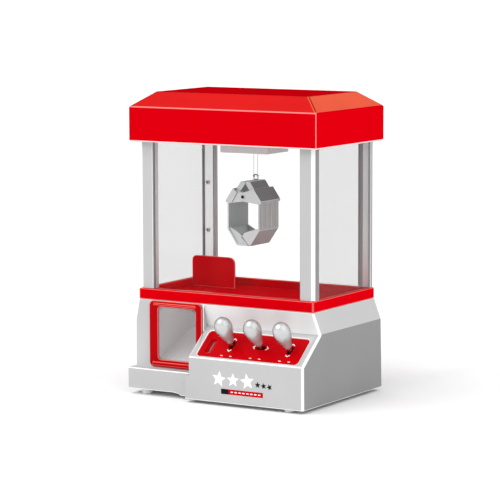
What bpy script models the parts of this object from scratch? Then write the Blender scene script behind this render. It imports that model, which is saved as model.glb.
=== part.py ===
"""Tabletop toy claw crane machine, built as the assembly that it is.

The frame stands on its feet: origin at the middle of the footprint on the floor, +X to the
player's right, +Y to the back, +Z up. Sizes below are millimetres, with Y measured from the
middle of the base's footprint; piece() and pivot() turn them into Blender's metres and move
them back by FRAME_SHIFT, to the middle of the whole footprint, knobs included.

From the bottom up: a flared base with a control box, a prize door and a battery box; a red
tray with four corner posts and clear windows; and a red roof that hides a gantry. The gantry's
bridge runs front to back on two rails, its trolley runs left to right on two rods, and the
trolley's winch lets down a two-scoop claw on two strings.
"""

import math

import bmesh
import bpy
from mathutils import Matrix, Vector

MM = 0.001
GAP = 0.3
WALL = 2.5
FRAME_SHIFT = Vector((0.0, 5.425, 0.0))  # the knobs reach past the base's front by twice this

# heights
BASE_BOTTOM = 4.0
STEP_BOTTOM = 6.8
STEP_TOP = 32.0
KNEE_Z = 86.0
BASE_TOP = 111.1
TRAY_FLOOR = 114.5
RIM_TOP = 123.8
ROOF_BOTTOM = 297.2
FASCIA_TOP = 338.1
ROOF_TOP = 355.0

# half widths in X
BASE_HALF = 123.7
KNEE_HALF = 123.2
RIM_HALF = 118.4
ROOF_HALF = 126.1

# depths in Y
BOX_FRONT = -92.9
STEP_FRONT = -78.7
WALL_FRONT = -61.2
RIM_BACK = 83.3
KNEE_BACK = 91.0
BASE_BACK = 92.9
MIDDLE_Y = 11.5
ROOF_HALF_DEPTH = 79.7
ROOF_CHAMFER = 23.0

# control box and its slanted panel
BOX_LEFT = -29.3
SILL_LEFT = -35.0
DECK_LEFT = -28.0
PANEL_LOW = Vector((0.0, BOX_FRONT, 54.0))
PANEL_HIGH = Vector((0.0, -53.2, 85.5))
PANEL_X = (-21.0, 114.0)
PANEL_S = (3.2, 43.5)
PANEL_CORNER = 5.0
PANEL_TOP = -0.7
PANEL_THICK = 2.5
STICK_X = {"left": 18.0, "middle": 56.6, "right": 95.4}
STICK_S = 24.3
SLOT_LENGTH = 12.0
SLOT_WIDTH = 6.6
PIVOT_DEPTH = 10.0
COIN_X = -8.0
COIN_S = 20.0

# prize door
BEZEL_X = (-102.5, -29.6)
BEZEL_Z = (32.4, 110.8)
DOOR_X = (-90.3, -38.1)
DOOR_Z = (41.5, 104.0)
BEZEL_THICK = 2.2
FLAP_AXIS = (-61.9, 101.4)
FLAP_Y = (-62.9, -60.9)
CHUTE_X = (-101.0, -31.5)
CHUTE_WALL = 2.0

# under the base
BATTERY_X = (0.5, 70.0)
BATTERY_Y = (-52.5, 56.5)
BATTERY_Z = (9.8, 46.0)
HATCH_X = (4.0, 66.0)
HATCH_Y = (-48.0, 52.0)
PLATE_Z = (7.0, 9.5)
PLATE_HALF = 120.2
SPEAKER_PLACE = (-70.0, 66.0, 9.8)
SWITCH_SLOT_X = (55.0, 69.0)
FOOT_PLACES = {
    "front_left": (-104.0, -66.0),
    "front_right": (100.0, -82.0),
    "rear_left": (-104.0, 78.0),
    "rear_right": (104.0, 78.0),
}

# cabinet
POST_X = (100.0, 117.6)
FRONT_POST_Y = (-58.4, -46.0)
REAR_POST_X = (101.5, 117.0)
REAR_POST_Y = (76.8, 82.9)
CABINET_LOW = RIM_TOP + GAP
CABINET_HIGH = ROOF_BOTTOM - GAP
CHUTE_HOLE_X = (-98.0, -60.0)
CHUTE_HOLE_Y = (-46.0, 8.0)
TRAY_POCKET_HALF = 113.4
PARTITION_X = (-112.9, -52.6)
PARTITION_Y = (46.6, 49.2)
PARTITION_TOP = 152.0
FRONT_WINDOW_Y = (-57.0, -55.0)
SIDE_WINDOW_X = (114.2, 116.2)
DOOR_Y = (78.0, 80.4)
DOOR_RIGHT = 100.9
POST_SCREW_X = -108.9
POST_SCREW_Z = {"upper": 238.2, "lower": 180.0}
DOOR_AXIS = (-98.6, 79.2)

# gantry
ROOF_OPENING_X = 104.0
ROOF_OPENING_Y = (-51.5, 74.5)
RAIL_BRACKET = 3.0
BRIDGE_END_X = (103.6, 114.4)
MOTOR_RADIUS = 10.0
RAIL_X = 109.0
RAIL_Z = 308.0
ROD_RADIUS = 2.5
ROD_Z = 315.0
ROD_SPREAD = 14.0
TROLLEY_X = (-35.2, 29.3)
TROLLEY_Y = (-13.5, 36.5)
TROLLEY_Z = (283.8, 320.0)
BRIDGE_WHEEL_RADIUS = 10.0
BRIDGE_WHEEL_Y = -22.5
TROLLEY_WHEEL_RADIUS = 7.0
TROLLEY_WHEEL_X = -20.0
WINCH_Y = 5.5
WINCH_Z = 300.0
DRUM_RADIUS = 6.0
GEAR_MODULE = 0.8
GEAR_TEETH = 24
PINION_TEETH = 12
GEAR_CENTRES = 14.5
GEAR_X = (-12.0, -9.0)

# claw
STRING_X = (-4.2, 1.2)
STRING_Y = WINCH_Y + DRUM_RADIUS + 0.8
STRING_RADIUS = 0.5
RING_Z = 254.6
CLAW_X = -5.0
CLAW_PIN_Z = 232.9
CLAW_HALF_DEPTH = 22.3
CLAW_PLATE = 2.0

RED = ((0.72, 0.004, 0.008), 0.28, 0.0)
SILVER = ((0.62, 0.62, 0.63), 0.38, 0.35)
GREY = ((0.33, 0.34, 0.35), 0.45, 0.1)
DARK = ((0.06, 0.06, 0.065), 0.5, 0.0)
LIGHT_GREY = ((0.55, 0.56, 0.57), 0.45, 0.0)
CLEAR = ((0.86, 0.9, 0.92), 0.05, 0.0)
CHROME = ((0.78, 0.78, 0.8), 0.18, 0.9)
STEEL = ((0.6, 0.61, 0.63), 0.25, 1.0)
RUBBER = ((0.75, 0.75, 0.74), 0.6, 0.0)
BLACK_RUBBER = ((0.03, 0.03, 0.03), 0.8, 0.0)
BOARD = ((0.02, 0.2, 0.07), 0.55, 0.0)
STRING = ((0.85, 0.85, 0.82), 0.8, 0.0)


def clear_scene():
    for old in list(bpy.data.objects):
        bpy.data.objects.remove(old, do_unlink=True)


def material(name, finish):
    colour, roughness, metallic = finish
    made = bpy.data.materials.new(name)
    made.use_nodes = True
    shader = made.node_tree.nodes["Principled BSDF"]
    shader.inputs["Base Color"].default_value = (*colour, 1.0)
    shader.inputs["Roughness"].default_value = roughness
    shader.inputs["Metallic"].default_value = metallic
    if finish is CLEAR:
        shader.inputs["Alpha"].default_value = 0.3
    return made


def piece(name, bm, finish, origin=(0.0, 0.0, 0.0), smooth=False, parent=None):
    """Turns a millimetre mesh into a named object whose origin is at origin."""
    start = Vector(origin)
    bmesh.ops.recalc_face_normals(bm, faces=bm.faces)
    bmesh.ops.translate(bm, vec=-start, verts=bm.verts)
    bmesh.ops.scale(bm, vec=(MM, MM, MM), verts=bm.verts)
    mesh = bpy.data.meshes.new(name)
    bm.to_mesh(mesh)
    bm.free()
    made = bpy.data.objects.new(name, mesh)
    made.location = (start + FRAME_SHIFT) * MM
    if parent is not None:
        made.parent = parent
        made.location -= parent.location
    bpy.context.scene.collection.objects.link(made)
    if finish is not None:
        mesh.materials.append(material(name, finish))
    if smooth:
        mesh.shade_smooth()
        mesh.set_sharp_from_angle(angle=math.radians(35))
    return made


def guide(name, bm):
    """A helper solid for a Boolean, which isn't part of the machine."""
    made = piece(name, bm, None)
    made.hide_render = True
    made.display_type = "WIRE"
    return made


def boolean(target, operation, bm):
    count = len(target.modifiers)
    tool = guide(f"{target.name}_{operation.lower()}_{count}", bm)
    use_tool(target, operation, tool)
    return tool


def use_tool(target, operation, tool):
    step = target.modifiers.new(operation.title(), "BOOLEAN")
    step.operation = operation
    step.object = tool
    step.solver = "EXACT"


def pivot(name, place):
    """An empty on a joint's axis, for the pieces that move with it."""
    made = bpy.data.objects.new(name, None)
    made.location = (Vector(place) + FRAME_SHIFT) * MM
    bpy.context.scene.collection.objects.link(made)
    return made


def prism(outline, axis, low, high):
    """A closed extrusion of a 2-D outline along X (of y, z), Y (of x, z) or Z (of x, y)."""
    order = {
        "X": lambda a, b, c: (c, a, b),
        "Y": lambda a, b, c: (a, c, b),
        "Z": lambda a, b, c: (a, b, c),
    }[axis]
    bm = bmesh.new()
    ends = [[bm.verts.new(order(a, b, c)) for a, b in outline] for c in (low, high)]
    bm.faces.new(ends[0])
    bm.faces.new(ends[1])
    for i in range(len(outline)):
        j = (i + 1) % len(outline)
        bm.faces.new((ends[0][i], ends[0][j], ends[1][j], ends[1][i]))
    return bm


def block(x, y, z):
    return prism([(x[0], y[0]), (x[1], y[0]), (x[1], y[1]), (x[0], y[1])], "Z", z[0], z[1])


def rod(start, end, radius, sides=20, end_radius=None):
    start, end = Vector(start), Vector(end)
    length = (end - start).length
    bm = bmesh.new()
    bmesh.ops.create_cone(
        bm,
        cap_ends=True,
        segments=sides,
        radius1=radius,
        radius2=radius if end_radius is None else end_radius,
        depth=length,
    )
    turn = (end - start).to_track_quat("Z", "Y").to_matrix().to_4x4()
    bmesh.ops.transform(bm, matrix=Matrix.Translation((start + end) / 2) @ turn, verts=bm.verts)
    return bm


def turned(profile, start, direction, sides=24):
    """A solid of revolution: profile lists (height, radius) along direction from start."""
    bm = bmesh.new()
    rings = []
    for height, radius in profile:
        if radius < 1e-6:
            rings.append([bm.verts.new((0, 0, height))])
            continue
        angles = [2 * math.pi * i / sides for i in range(sides)]
        rings.append([bm.verts.new((radius * math.cos(a), radius * math.sin(a), height)) for a in angles])
    for low, high in zip(rings, rings[1:]):
        for i in range(sides):
            j = (i + 1) % sides
            corners = [low[i % len(low)], low[j % len(low)], high[j % len(high)], high[i % len(high)]]
            bm.faces.new(list(dict.fromkeys(corners)))
    for ring in (rings[0], rings[-1]):
        if len(ring) > 1:
            bm.faces.new(ring)
    turn = Vector(direction).to_track_quat("Z", "Y").to_matrix().to_4x4()
    bmesh.ops.transform(bm, matrix=Matrix.Translation(Vector(start)) @ turn, verts=bm.verts)
    return bm


def rounded(x, y, radius, steps=5):
    """The outline of a rectangle with round corners, anticlockwise."""
    points = []
    corners = [(x[1], y[0], -90), (x[1], y[1], 0), (x[0], y[1], 90), (x[0], y[0], 180)]
    for cx, cy, start in corners:
        mx = cx - math.copysign(radius, cx - (x[0] + x[1]) / 2)
        my = cy - math.copysign(radius, cy - (y[0] + y[1]) / 2)
        for i in range(steps + 1):
            a = math.radians(start + 90 * i / steps)
            points.append((mx + radius * math.cos(a), my + radius * math.sin(a)))
    return points


def inset(outline, distance):
    """The outline with every side moved inwards by distance."""
    area = sum(a[0] * b[1] - b[0] * a[1] for a, b in zip(outline, outline[1:] + outline[:1]))
    side = math.copysign(1.0, area)
    result = []
    for i, corner in enumerate(outline):
        before = Vector(corner) - Vector(outline[i - 1])
        after = Vector(outline[(i + 1) % len(outline)]) - Vector(corner)
        n1 = Vector((-before.y, before.x)).normalized() * side
        n2 = Vector((-after.y, after.x)).normalized() * side
        move = (n1 + n2) / (1 + n1.dot(n2)) * distance
        result.append((corner[0] + move.x, corner[1] + move.y))
    return result


# the slanted panel's own frame: x along the box, s up the slope, n out of it
SLOPE = (PANEL_HIGH - PANEL_LOW).normalized()
NORMAL = Vector((1, 0, 0)).cross(SLOPE)


def on_panel(x, s, n=0.0):
    return PANEL_LOW + Vector((x, 0, 0)) + SLOPE * s + NORMAL * n


def panel_prism(outline, low, high):
    """An extrusion of an (x, s) outline square to the slanted panel."""
    bm = prism(outline, "Z", low, high)
    turn = Matrix((Vector((1, 0, 0)), SLOPE, NORMAL)).transposed().to_4x4()
    bmesh.ops.transform(bm, matrix=Matrix.Translation(PANEL_LOW) @ turn, verts=bm.verts)
    return bm


def panel_block(x, s, n):
    return panel_prism([(x[0], s[0]), (x[1], s[0]), (x[1], s[1]), (x[0], s[1])], n[0], n[1])


def base_solid(name, finish, thickness, bottom):
    """The base's outer form, or with a thickness the hollow inside it."""
    far = 140.0
    t = thickness
    left = [
        (WALL_FRONT, bottom),
        (BASE_BACK, bottom),
        (KNEE_BACK, KNEE_Z),
        (RIM_BACK, BASE_TOP),
        (WALL_FRONT, BASE_TOP),
    ]
    right = [
        (BOX_FRONT, bottom),
        (BASE_BACK, bottom),
        (KNEE_BACK, KNEE_Z),
        (RIM_BACK, BASE_TOP),
        (WALL_FRONT, BASE_TOP),
        (PANEL_HIGH.y, PANEL_HIGH.z),
        (PANEL_LOW.y, PANEL_LOW.z),
    ]
    flare = [
        (-BASE_HALF, bottom),
        (BASE_HALF, bottom),
        (KNEE_HALF, KNEE_Z),
        (RIM_HALF, BASE_TOP),
        (-RIM_HALF, BASE_TOP),
        (-KNEE_HALF, KNEE_Z),
    ]
    body = prism(inset(left, t), "X", -far, DECK_LEFT - t)
    made = piece(name, body, finish) if finish else guide(name, body)
    boolean(made, "UNION", prism(inset(right, t), "X", BOX_LEFT + t, far))
    step = ((-far, BOX_LEFT + 4 - t), (STEP_FRONT + t, WALL_FRONT + 9), (bottom + t, STEP_TOP - t))
    boolean(made, "UNION", block(*step))
    sill = ((SILL_LEFT + t, BOX_LEFT + 9), (BOX_FRONT + t, WALL_FRONT + 20), (bottom + t, STEP_TOP - t))
    boolean(made, "UNION", block(*sill))
    if t:
        middle = [(PANEL_HIGH.y + 8, BASE_TOP), (PANEL_HIGH.y + 8, bottom)] + left[1:4]
        boolean(made, "UNION", prism(inset(middle, t), "X", DECK_LEFT - 20, DECK_LEFT + 20))
    boolean(made, "INTERSECT", prism(inset(flare, t), "Y", -far, far))
    return made


def base():
    housing = base_solid("base_housing", SILVER, 0.0, BASE_BOTTOM)
    use_tool(housing, "DIFFERENCE", base_solid("base_cavity", None, WALL, -20.0))
    deck = rounded((-108, 108), (-55, 77), 4)
    boolean(housing, "DIFFERENCE", prism(deck, "Z", BASE_TOP - 8, BASE_TOP + 5))
    boolean(housing, "DIFFERENCE", panel_prism(rounded(PANEL_X, PANEL_S, PANEL_CORNER), -6, 4))
    doorway = ((DOOR_X[0] - 1.5, DOOR_X[1] + 1.5), (WALL_FRONT - 4, WALL_FRONT + 4))
    boolean(housing, "DIFFERENCE", block(*doorway, (DOOR_Z[0] - 1.5, DOOR_Z[1] + 1.5)))
    arch = [(-130, 0), (-46, 0), (-52, STEP_BOTTOM - 1.2), (-60, STEP_BOTTOM), (-130, STEP_BOTTOM)]
    boolean(housing, "DIFFERENCE", prism(arch, "Y", STEP_FRONT - 5, WALL_FRONT - 4))
    boolean(housing, "DIFFERENCE", block(SWITCH_SLOT_X, (80, 100), (27, 33)))

    half = PLATE_HALF
    plate = [(-26, -75.6), (-26, -89.8), (half, -89.8), (half, 89.2), (-half, 89.2), (-half, -75.6)]
    bottom = piece("bottom_plate", prism(plate, "Z", *PLATE_Z), LIGHT_GREY)
    boolean(bottom, "DIFFERENCE", block(HATCH_X, HATCH_Y, (0, 20)))
    for i in range(-2, 3):
        x, y = SPEAKER_PLACE[0], SPEAKER_PLACE[1] + 6 * i
        boolean(bottom, "DIFFERENCE", block((x - 12, x + 12), (y - 1.2, y + 1.2), (0, 20)))
    hatch = [(low + GAP, high - GAP) for low, high in (HATCH_X, HATCH_Y)]
    piece("battery_door", block(*hatch, (PLATE_Z[0], PLATE_Z[1] - GAP)), LIGHT_GREY)
    battery = piece("battery_box", block(BATTERY_X, BATTERY_Y, BATTERY_Z), DARK)
    bay = [(low + WALL, high - WALL) for low, high in (BATTERY_X, BATTERY_Y)]
    boolean(battery, "DIFFERENCE", block(*bay, (0, BATTERY_Z[1] - WALL)))

    for corner, (x, y) in FOOT_PLACES.items():
        profile = [(0, 5.9), (0.8, 6.8), (3.6, 7.0), (6.7, 7.0)]
        piece(f"foot_{corner}", turned(profile, (x, y, 0), (0, 0, 1)), RUBBER, (x, y, 0), True)

    cone = [(0, 18), (6, 18), (11, 9), (18, 9)]
    piece("speaker", turned(cone, SPEAKER_PLACE, (0, 0, 1)), DARK, SPEAKER_PLACE, True)


def prize_door():
    outer = rounded(BEZEL_X, BEZEL_Z, 6)
    face = WALL_FRONT - GAP
    bezel = piece("prize_bezel", prism(outer, "Y", face - BEZEL_THICK, face), RED)
    boolean(bezel, "DIFFERENCE", prism(rounded(DOOR_X, DOOR_Z, 4), "Y", face - 10, face + 5))
    grip = [(-66.2, 34.5), (-63.2, 33.4), (-63.2, 39.2), (-65.4, 38.4)]
    boolean(bezel, "UNION", prism(grip, "X", BEZEL_X[0] + 5, BOX_LEFT - 6))

    hinge = (sum(DOOR_X) / 2, *FLAP_AXIS)
    swing = pivot("prize_flap_pivot", hinge)
    sheet = rounded((DOOR_X[0] + 0.5, DOOR_X[1] - 0.5), (DOOR_Z[0] + 0.6, hinge[2]), 3)
    flap = piece("prize_flap", prism(sheet, "Y", *FLAP_Y), CLEAR, hinge, parent=swing)
    low, high = DOOR_X[0] + 3.5, DOOR_X[1] - 3.5
    boolean(flap, "UNION", rod((low, hinge[1], hinge[2]), (high, hinge[1], hinge[2]), 1.6, 12))

    slope = [(-58.4, 33.5), (46, 73.3), (46, 108.2), (-58.4, 108.2)]
    chute = piece("prize_chute", prism(slope, "X", *CHUTE_X), GREY)
    hollow = [(-65, 33.8), (44, 75.4), (44, 112), (-65, 112)]
    boolean(chute, "DIFFERENCE", prism(hollow, "X", CHUTE_X[0] + CHUTE_WALL, CHUTE_X[1] - CHUTE_WALL))


def joystick(side, frame):
    x = STICK_X[side]
    across = side == "middle"
    axis = SLOPE if across else Vector((1, 0, 0))
    place = on_panel(x, STICK_S, -PIVOT_DEPTH)
    swing = pivot(f"{side}_joystick_pivot", place)
    stem_ends = (on_panel(x, STICK_S, -20), on_panel(x, STICK_S, 5.1))
    stem = piece(f"{side}_stem", rod(*stem_ends, 2.5, 16), STEEL, place, True, swing)
    boolean(stem, "UNION", rod(place - axis * 7, place + axis * 7, 3.0, 12))
    knob = [
        (5.4, 4.3),
        (9, 5.6),
        (13.5, 6.9),
        (18, 8.3),
        (22, 9.4),
        (26, 10.1),
        (29, 10.4),
        (32.5, 10.2),
        (36, 9.2),
        (39, 7.2),
        (41, 4.6),
        (42, 1.8),
        (42.2, 0),
    ]
    foot = on_panel(x, STICK_S)
    piece(f"{side}_knob", turned(knob, foot, NORMAL), CHROME, place, True, swing)
    long, short = SLOT_LENGTH / 2, SLOT_WIDTH / 2
    half = (long, short) if across else (short, long)
    slot = rounded((x - half[0], x + half[0]), (STICK_S - half[1], STICK_S + half[1]), short - 0.1, 4)
    groove = (3.5, 7.5) if across else (7.5, 3.5)
    room = (7.5, 4.0) if across else (4.0, 7.5)
    for a, b in (groove, room):
        hole = panel_block((x - a, x + a), (STICK_S - b, STICK_S + b), (-30, 0))
        boolean(frame, "DIFFERENCE", hole)
    return slot


def control_box():
    low, high = PANEL_TOP - PANEL_THICK, PANEL_TOP
    x = (PANEL_X[0] + GAP, PANEL_X[1] - GAP)
    s = (PANEL_S[0] + GAP, PANEL_S[1] - GAP)
    panel = piece("control_panel", panel_prism(rounded(x, s, PANEL_CORNER - GAP), low, high), RED)
    frame = piece("joystick_frame", panel_block((-2, 112), (10, 39), (-13, -7)), DARK)
    for side in STICK_X:
        boolean(panel, "DIFFERENCE", panel_prism(joystick(side, frame), low - 2, high + 2))

    recess = rounded((COIN_X - 4, COIN_X + 4), (COIN_S - 10.5, COIN_S + 10.5), 2.5)
    boolean(panel, "DIFFERENCE", panel_prism(recess, high - 1.1, high + 2))
    slit = ((COIN_X - 1.3, COIN_X + 1.3), (COIN_S - 9, COIN_S + 9))
    boolean(panel, "DIFFERENCE", panel_block(*slit, (low - 2, high + 2)))

    coin_s = (COIN_S - 12.5, COIN_S + 12.5)
    coin = piece("coin_chute", panel_block((COIN_X - 4, COIN_X + 4), coin_s, (-24, -3.6)), GREY)
    path = ((COIN_X - 1.7, COIN_X + 1.7), (COIN_S - 10, COIN_S + 10))
    boolean(coin, "DIFFERENCE", panel_block(*path, (-30, 0)))
    window = ((COIN_X - 6, COIN_X), (COIN_S - 3, COIN_S + 3))
    boolean(coin, "DIFFERENCE", panel_block(*window, (-20, -10)))

    place = on_panel(COIN_X - 7, COIN_S, -13)
    swing = pivot("coin_lever_pivot", place)
    arm = panel_block((COIN_X - 7, COIN_X - 0.4), (COIN_S - 2.2, COIN_S + 2.2), (-13.9, -12.1))
    lever = piece("coin_lever", arm, STEEL, place, parent=swing)
    boolean(lever, "UNION", rod(place - SLOPE * 5, place + SLOPE * 5, 1.6, 12))

    piece("circuit_board", panel_block((-18, 112), (6, 44), (-27.6, -26)), BOARD)

    x = SWITCH_SLOT_X[0] + 1
    switch = piece("power_switch", block((x, x + 5), (86, 92), (27.5, 32.5)), DARK, (x, 92, 30))
    boolean(switch, "UNION", block((x - 3, x + 8), (86, 89.3), (25, 35)))


def tray():
    rim = rounded((-RIM_HALF, RIM_HALF), (WALL_FRONT, RIM_BACK), 1.5, 3)
    made = piece("play_tray", prism(rim, "Z", BASE_TOP + GAP, RIM_TOP), RED)
    pocket = rounded((-TRAY_POCKET_HALF, TRAY_POCKET_HALF), (WALL_FRONT + 4.8, RIM_BACK - 4.8), 5)
    boolean(made, "DIFFERENCE", prism(pocket, "Z", TRAY_FLOOR, RIM_TOP + 5))
    hole = rounded(CHUTE_HOLE_X, CHUTE_HOLE_Y, 3)
    boolean(made, "DIFFERENCE", prism(hole, "Z", BASE_TOP - 5, RIM_TOP))

    left, right = PARTITION_X
    wall = [(left, TRAY_FLOOR + GAP), (right, TRAY_FLOOR + GAP)]
    for cx, radius, start in ((right - 8, 8, 0), (left + 6, 6, 90)):
        for i in range(6):
            a = math.radians(start + 18 * i)
            wall.append((cx + radius * math.cos(a), PARTITION_TOP - radius + radius * math.sin(a)))
    piece("chute_partition", prism(wall, "Y", *PARTITION_Y), RED)


def cabinet():
    for row, x, y, edge in (
        ("front", POST_X, FRONT_POST_Y, 0),
        ("rear", REAR_POST_X, REAR_POST_Y, 1),
    ):
        for side, sign in (("left", -1), ("right", 1)):
            cut = 3.0 if edge == 0 else 2.0
            out, back = x[1], y[edge]
            step = cut if edge == 0 else -cut
            inner = y[1 - edge]
            corners = [(x[0], back), (out - cut, back), (out, back + step), (out, inner), (x[0], inner)]
            outline = [(sign * a, b) for a, b in corners]
            made = prism(outline, "Z", CABINET_LOW, CABINET_HIGH)
            piece(f"{row}_{side}_post", made, SILVER, (sign * out, back, CABINET_LOW))
    inner = POST_X[0] - GAP
    high = (CABINET_LOW, CABINET_HIGH)
    piece("front_window", block((-inner, inner), FRONT_WINDOW_Y, high), CLEAR)
    side_y = (FRONT_POST_Y[1] + GAP, REAR_POST_Y[0] - GAP)
    near, far = SIDE_WINDOW_X
    for side, x in (("left", (-far, -near)), ("right", (near, far))):
        piece(f"{side}_window", block(x, side_y, high), CLEAR)
    for name, z in POST_SCREW_Z.items():
        head = [(0, 2.9), (0.9, 2.7), (1.5, 1.6)]
        start = (POST_SCREW_X, REAR_POST_Y[0] - GAP, z)
        piece(f"{name}_post_screw", turned(head, start, (0, -1, 0), 16), STEEL, start, True)

    hinge = (*DOOR_AXIS, CABINET_LOW + 1)
    swing = pivot("rear_door_pivot", hinge)
    sheet = block((DOOR_AXIS[0], DOOR_RIGHT), DOOR_Y, (CABINET_LOW + 1, CABINET_HIGH - 1))
    door = piece("rear_door", sheet, CLEAR, hinge, parent=swing)
    barrel = ((*DOOR_AXIS, CABINET_LOW + 1), (*DOOR_AXIS, CABINET_HIGH - 1))
    boolean(door, "UNION", rod(*barrel, 2.2, 16))


def hipped(t, low):
    """The roof's form: an upright fascia under four sloping sides and a flat top."""
    x, y = ROOF_HALF - t, ROOF_HALF_DEPTH - t
    slope = math.atan2(ROOF_TOP - FASCIA_TOP, ROOF_CHAMFER)
    shoulder = FASCIA_TOP - t * math.tan(slope / 2)
    top = ROOF_TOP - t
    step = (top - shoulder) / math.tan(slope)
    bm = bmesh.new()
    rings = []
    for z, shrink in ((low, 0), (shoulder, 0), (top, step)):
        a, b = x - shrink, y - shrink
        corners = [(-a, -b), (a, -b), (a, b), (-a, b)]
        rings.append([bm.verts.new((u, v + MIDDLE_Y, z)) for u, v in corners])
    bm.faces.new(rings[0])
    bm.faces.new(rings[-1])
    for lower, upper in zip(rings, rings[1:]):
        for i in range(4):
            j = (i + 1) % 4
            bm.faces.new((lower[i], lower[j], upper[j], upper[i]))
    return bm


def roof():
    shell = piece("roof_shell", hipped(0.0, ROOF_BOTTOM), RED)
    boolean(shell, "DIFFERENCE", hipped(WALL, ROOF_BOTTOM - 20))
    x, y = ROOF_HALF - WALL - GAP, ROOF_HALF_DEPTH - WALL - GAP
    ring = block((-x, x), (MIDDLE_Y - y, MIDDLE_Y + y), (ROOF_BOTTOM + GAP, 300.5))
    frame = piece("roof_base", ring, SILVER)
    front, rear = ROOF_OPENING_Y
    boolean(frame, "DIFFERENCE", block((-ROOF_OPENING_X, ROOF_OPENING_X), ROOF_OPENING_Y, (280, 310)))
    for sign in (-1, 1):
        for y in ((front - 6, front), (rear, rear + 6)):
            sides = sorted((sign * (RAIL_X - RAIL_BRACKET), sign * (RAIL_X + RAIL_BRACKET)))
            boolean(frame, "UNION", block(sides, y, (299, RAIL_Z + ROD_RADIUS)))
    for side, sign in (("left", -1), ("right", 1)):
        ends = ((sign * RAIL_X, front + GAP, RAIL_Z), (sign * RAIL_X, rear - GAP, RAIL_Z))
        piece(f"{side}_rail", rod(*ends, ROD_RADIUS), STEEL, ends[0], True)


def motor(name, axis, centre, length, thin, parent):
    """A small can motor with two flat sides; thin says which way the flats face."""
    half = Vector(axis) * length / 2
    can = rod(Vector(centre) - half, Vector(centre) + half, MOTOR_RADIUS, 24)
    made = piece(name, can, STEEL, centre, True, parent)
    low, high = [], []
    for i in range(3):
        reach = 7.5 if i == thin else 20.0
        low.append(centre[i] - reach)
        high.append(centre[i] + reach)
    boolean(made, "INTERSECT", block(*zip(low, high)))


def bridge():
    carrier = pivot("bridge_slide", (0, MIDDLE_Y, RAIL_Z))
    span = (MIDDLE_Y - 15, MIDDLE_Y + 15)
    inner, outer = BRIDGE_END_X
    for side, sign in (("left", -1), ("right", 1)):
        x = sorted((sign * inner, sign * outer))
        centre = (sign * RAIL_X, MIDDLE_Y, RAIL_Z)
        end = piece(f"bridge_end_{side}", block(x, span, (303, 320)), LIGHT_GREY, centre, parent=carrier)
        if sign > 0:
            plate = block((inner, inner + 2), (-31, span[0] + 1), (305, 331))
            boolean(end, "UNION", plate)
            shaft_z = RAIL_Z + ROD_RADIUS + GAP + BRIDGE_WHEEL_RADIUS
            hub = ((100, BRIDGE_WHEEL_Y, shaft_z), (107, BRIDGE_WHEEL_Y, shaft_z))
            boolean(end, "DIFFERENCE", rod(*hub, 2.0, 16))
        bore = ((sign * RAIL_X, -20, RAIL_Z), (sign * RAIL_X, 50, RAIL_Z))
        boolean(end, "DIFFERENCE", rod(*bore, ROD_RADIUS + GAP + 0.1))
    for side, sign in (("front", -1), ("rear", 1)):
        y = MIDDLE_Y + sign * ROD_SPREAD
        ends = ((GAP - inner, y, ROD_Z), (inner - GAP, y, ROD_Z))
        piece(f"bridge_rod_{side}", rod(*ends, ROD_RADIUS), STEEL, ends[0], True, carrier)
    wheel_z = RAIL_Z + ROD_RADIUS + GAP + BRIDGE_WHEEL_RADIUS
    motor("bridge_motor", (1, 0, 0), (91.2, BRIDGE_WHEEL_Y, wheel_z), 24.0, 1, carrier)
    start = (103.5, BRIDGE_WHEEL_Y, wheel_z)
    reach = BRIDGE_WHEEL_RADIUS
    tyre = [(0, 1.5), (2.9, 1.5), (2.9, reach - 0.6), (3.5, reach), (7.5, reach), (8.1, reach - 0.6)]
    piece("bridge_wheel", turned(tyre, start, (1, 0, 0), 32), BLACK_RUBBER, start, True, carrier)


def toothed(teeth, x, centre, phase):
    """A spur gear along X: straight-sided teeth, a little thinner than their gaps."""
    pitch_radius = GEAR_MODULE * teeth / 2
    step = 2 * math.pi / teeth
    outline = []
    for i in range(teeth):
        for share, radius in (
            (-0.30, pitch_radius - 0.95),
            (-0.12, pitch_radius + 0.6),
            (0.12, pitch_radius + 0.6),
            (0.30, pitch_radius - 0.95),
        ):
            a = phase + (i + share) * step
            outline.append((centre[0] + radius * math.cos(a), centre[1] + radius * math.sin(a)))
    return prism(outline, "X", *x)


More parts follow.
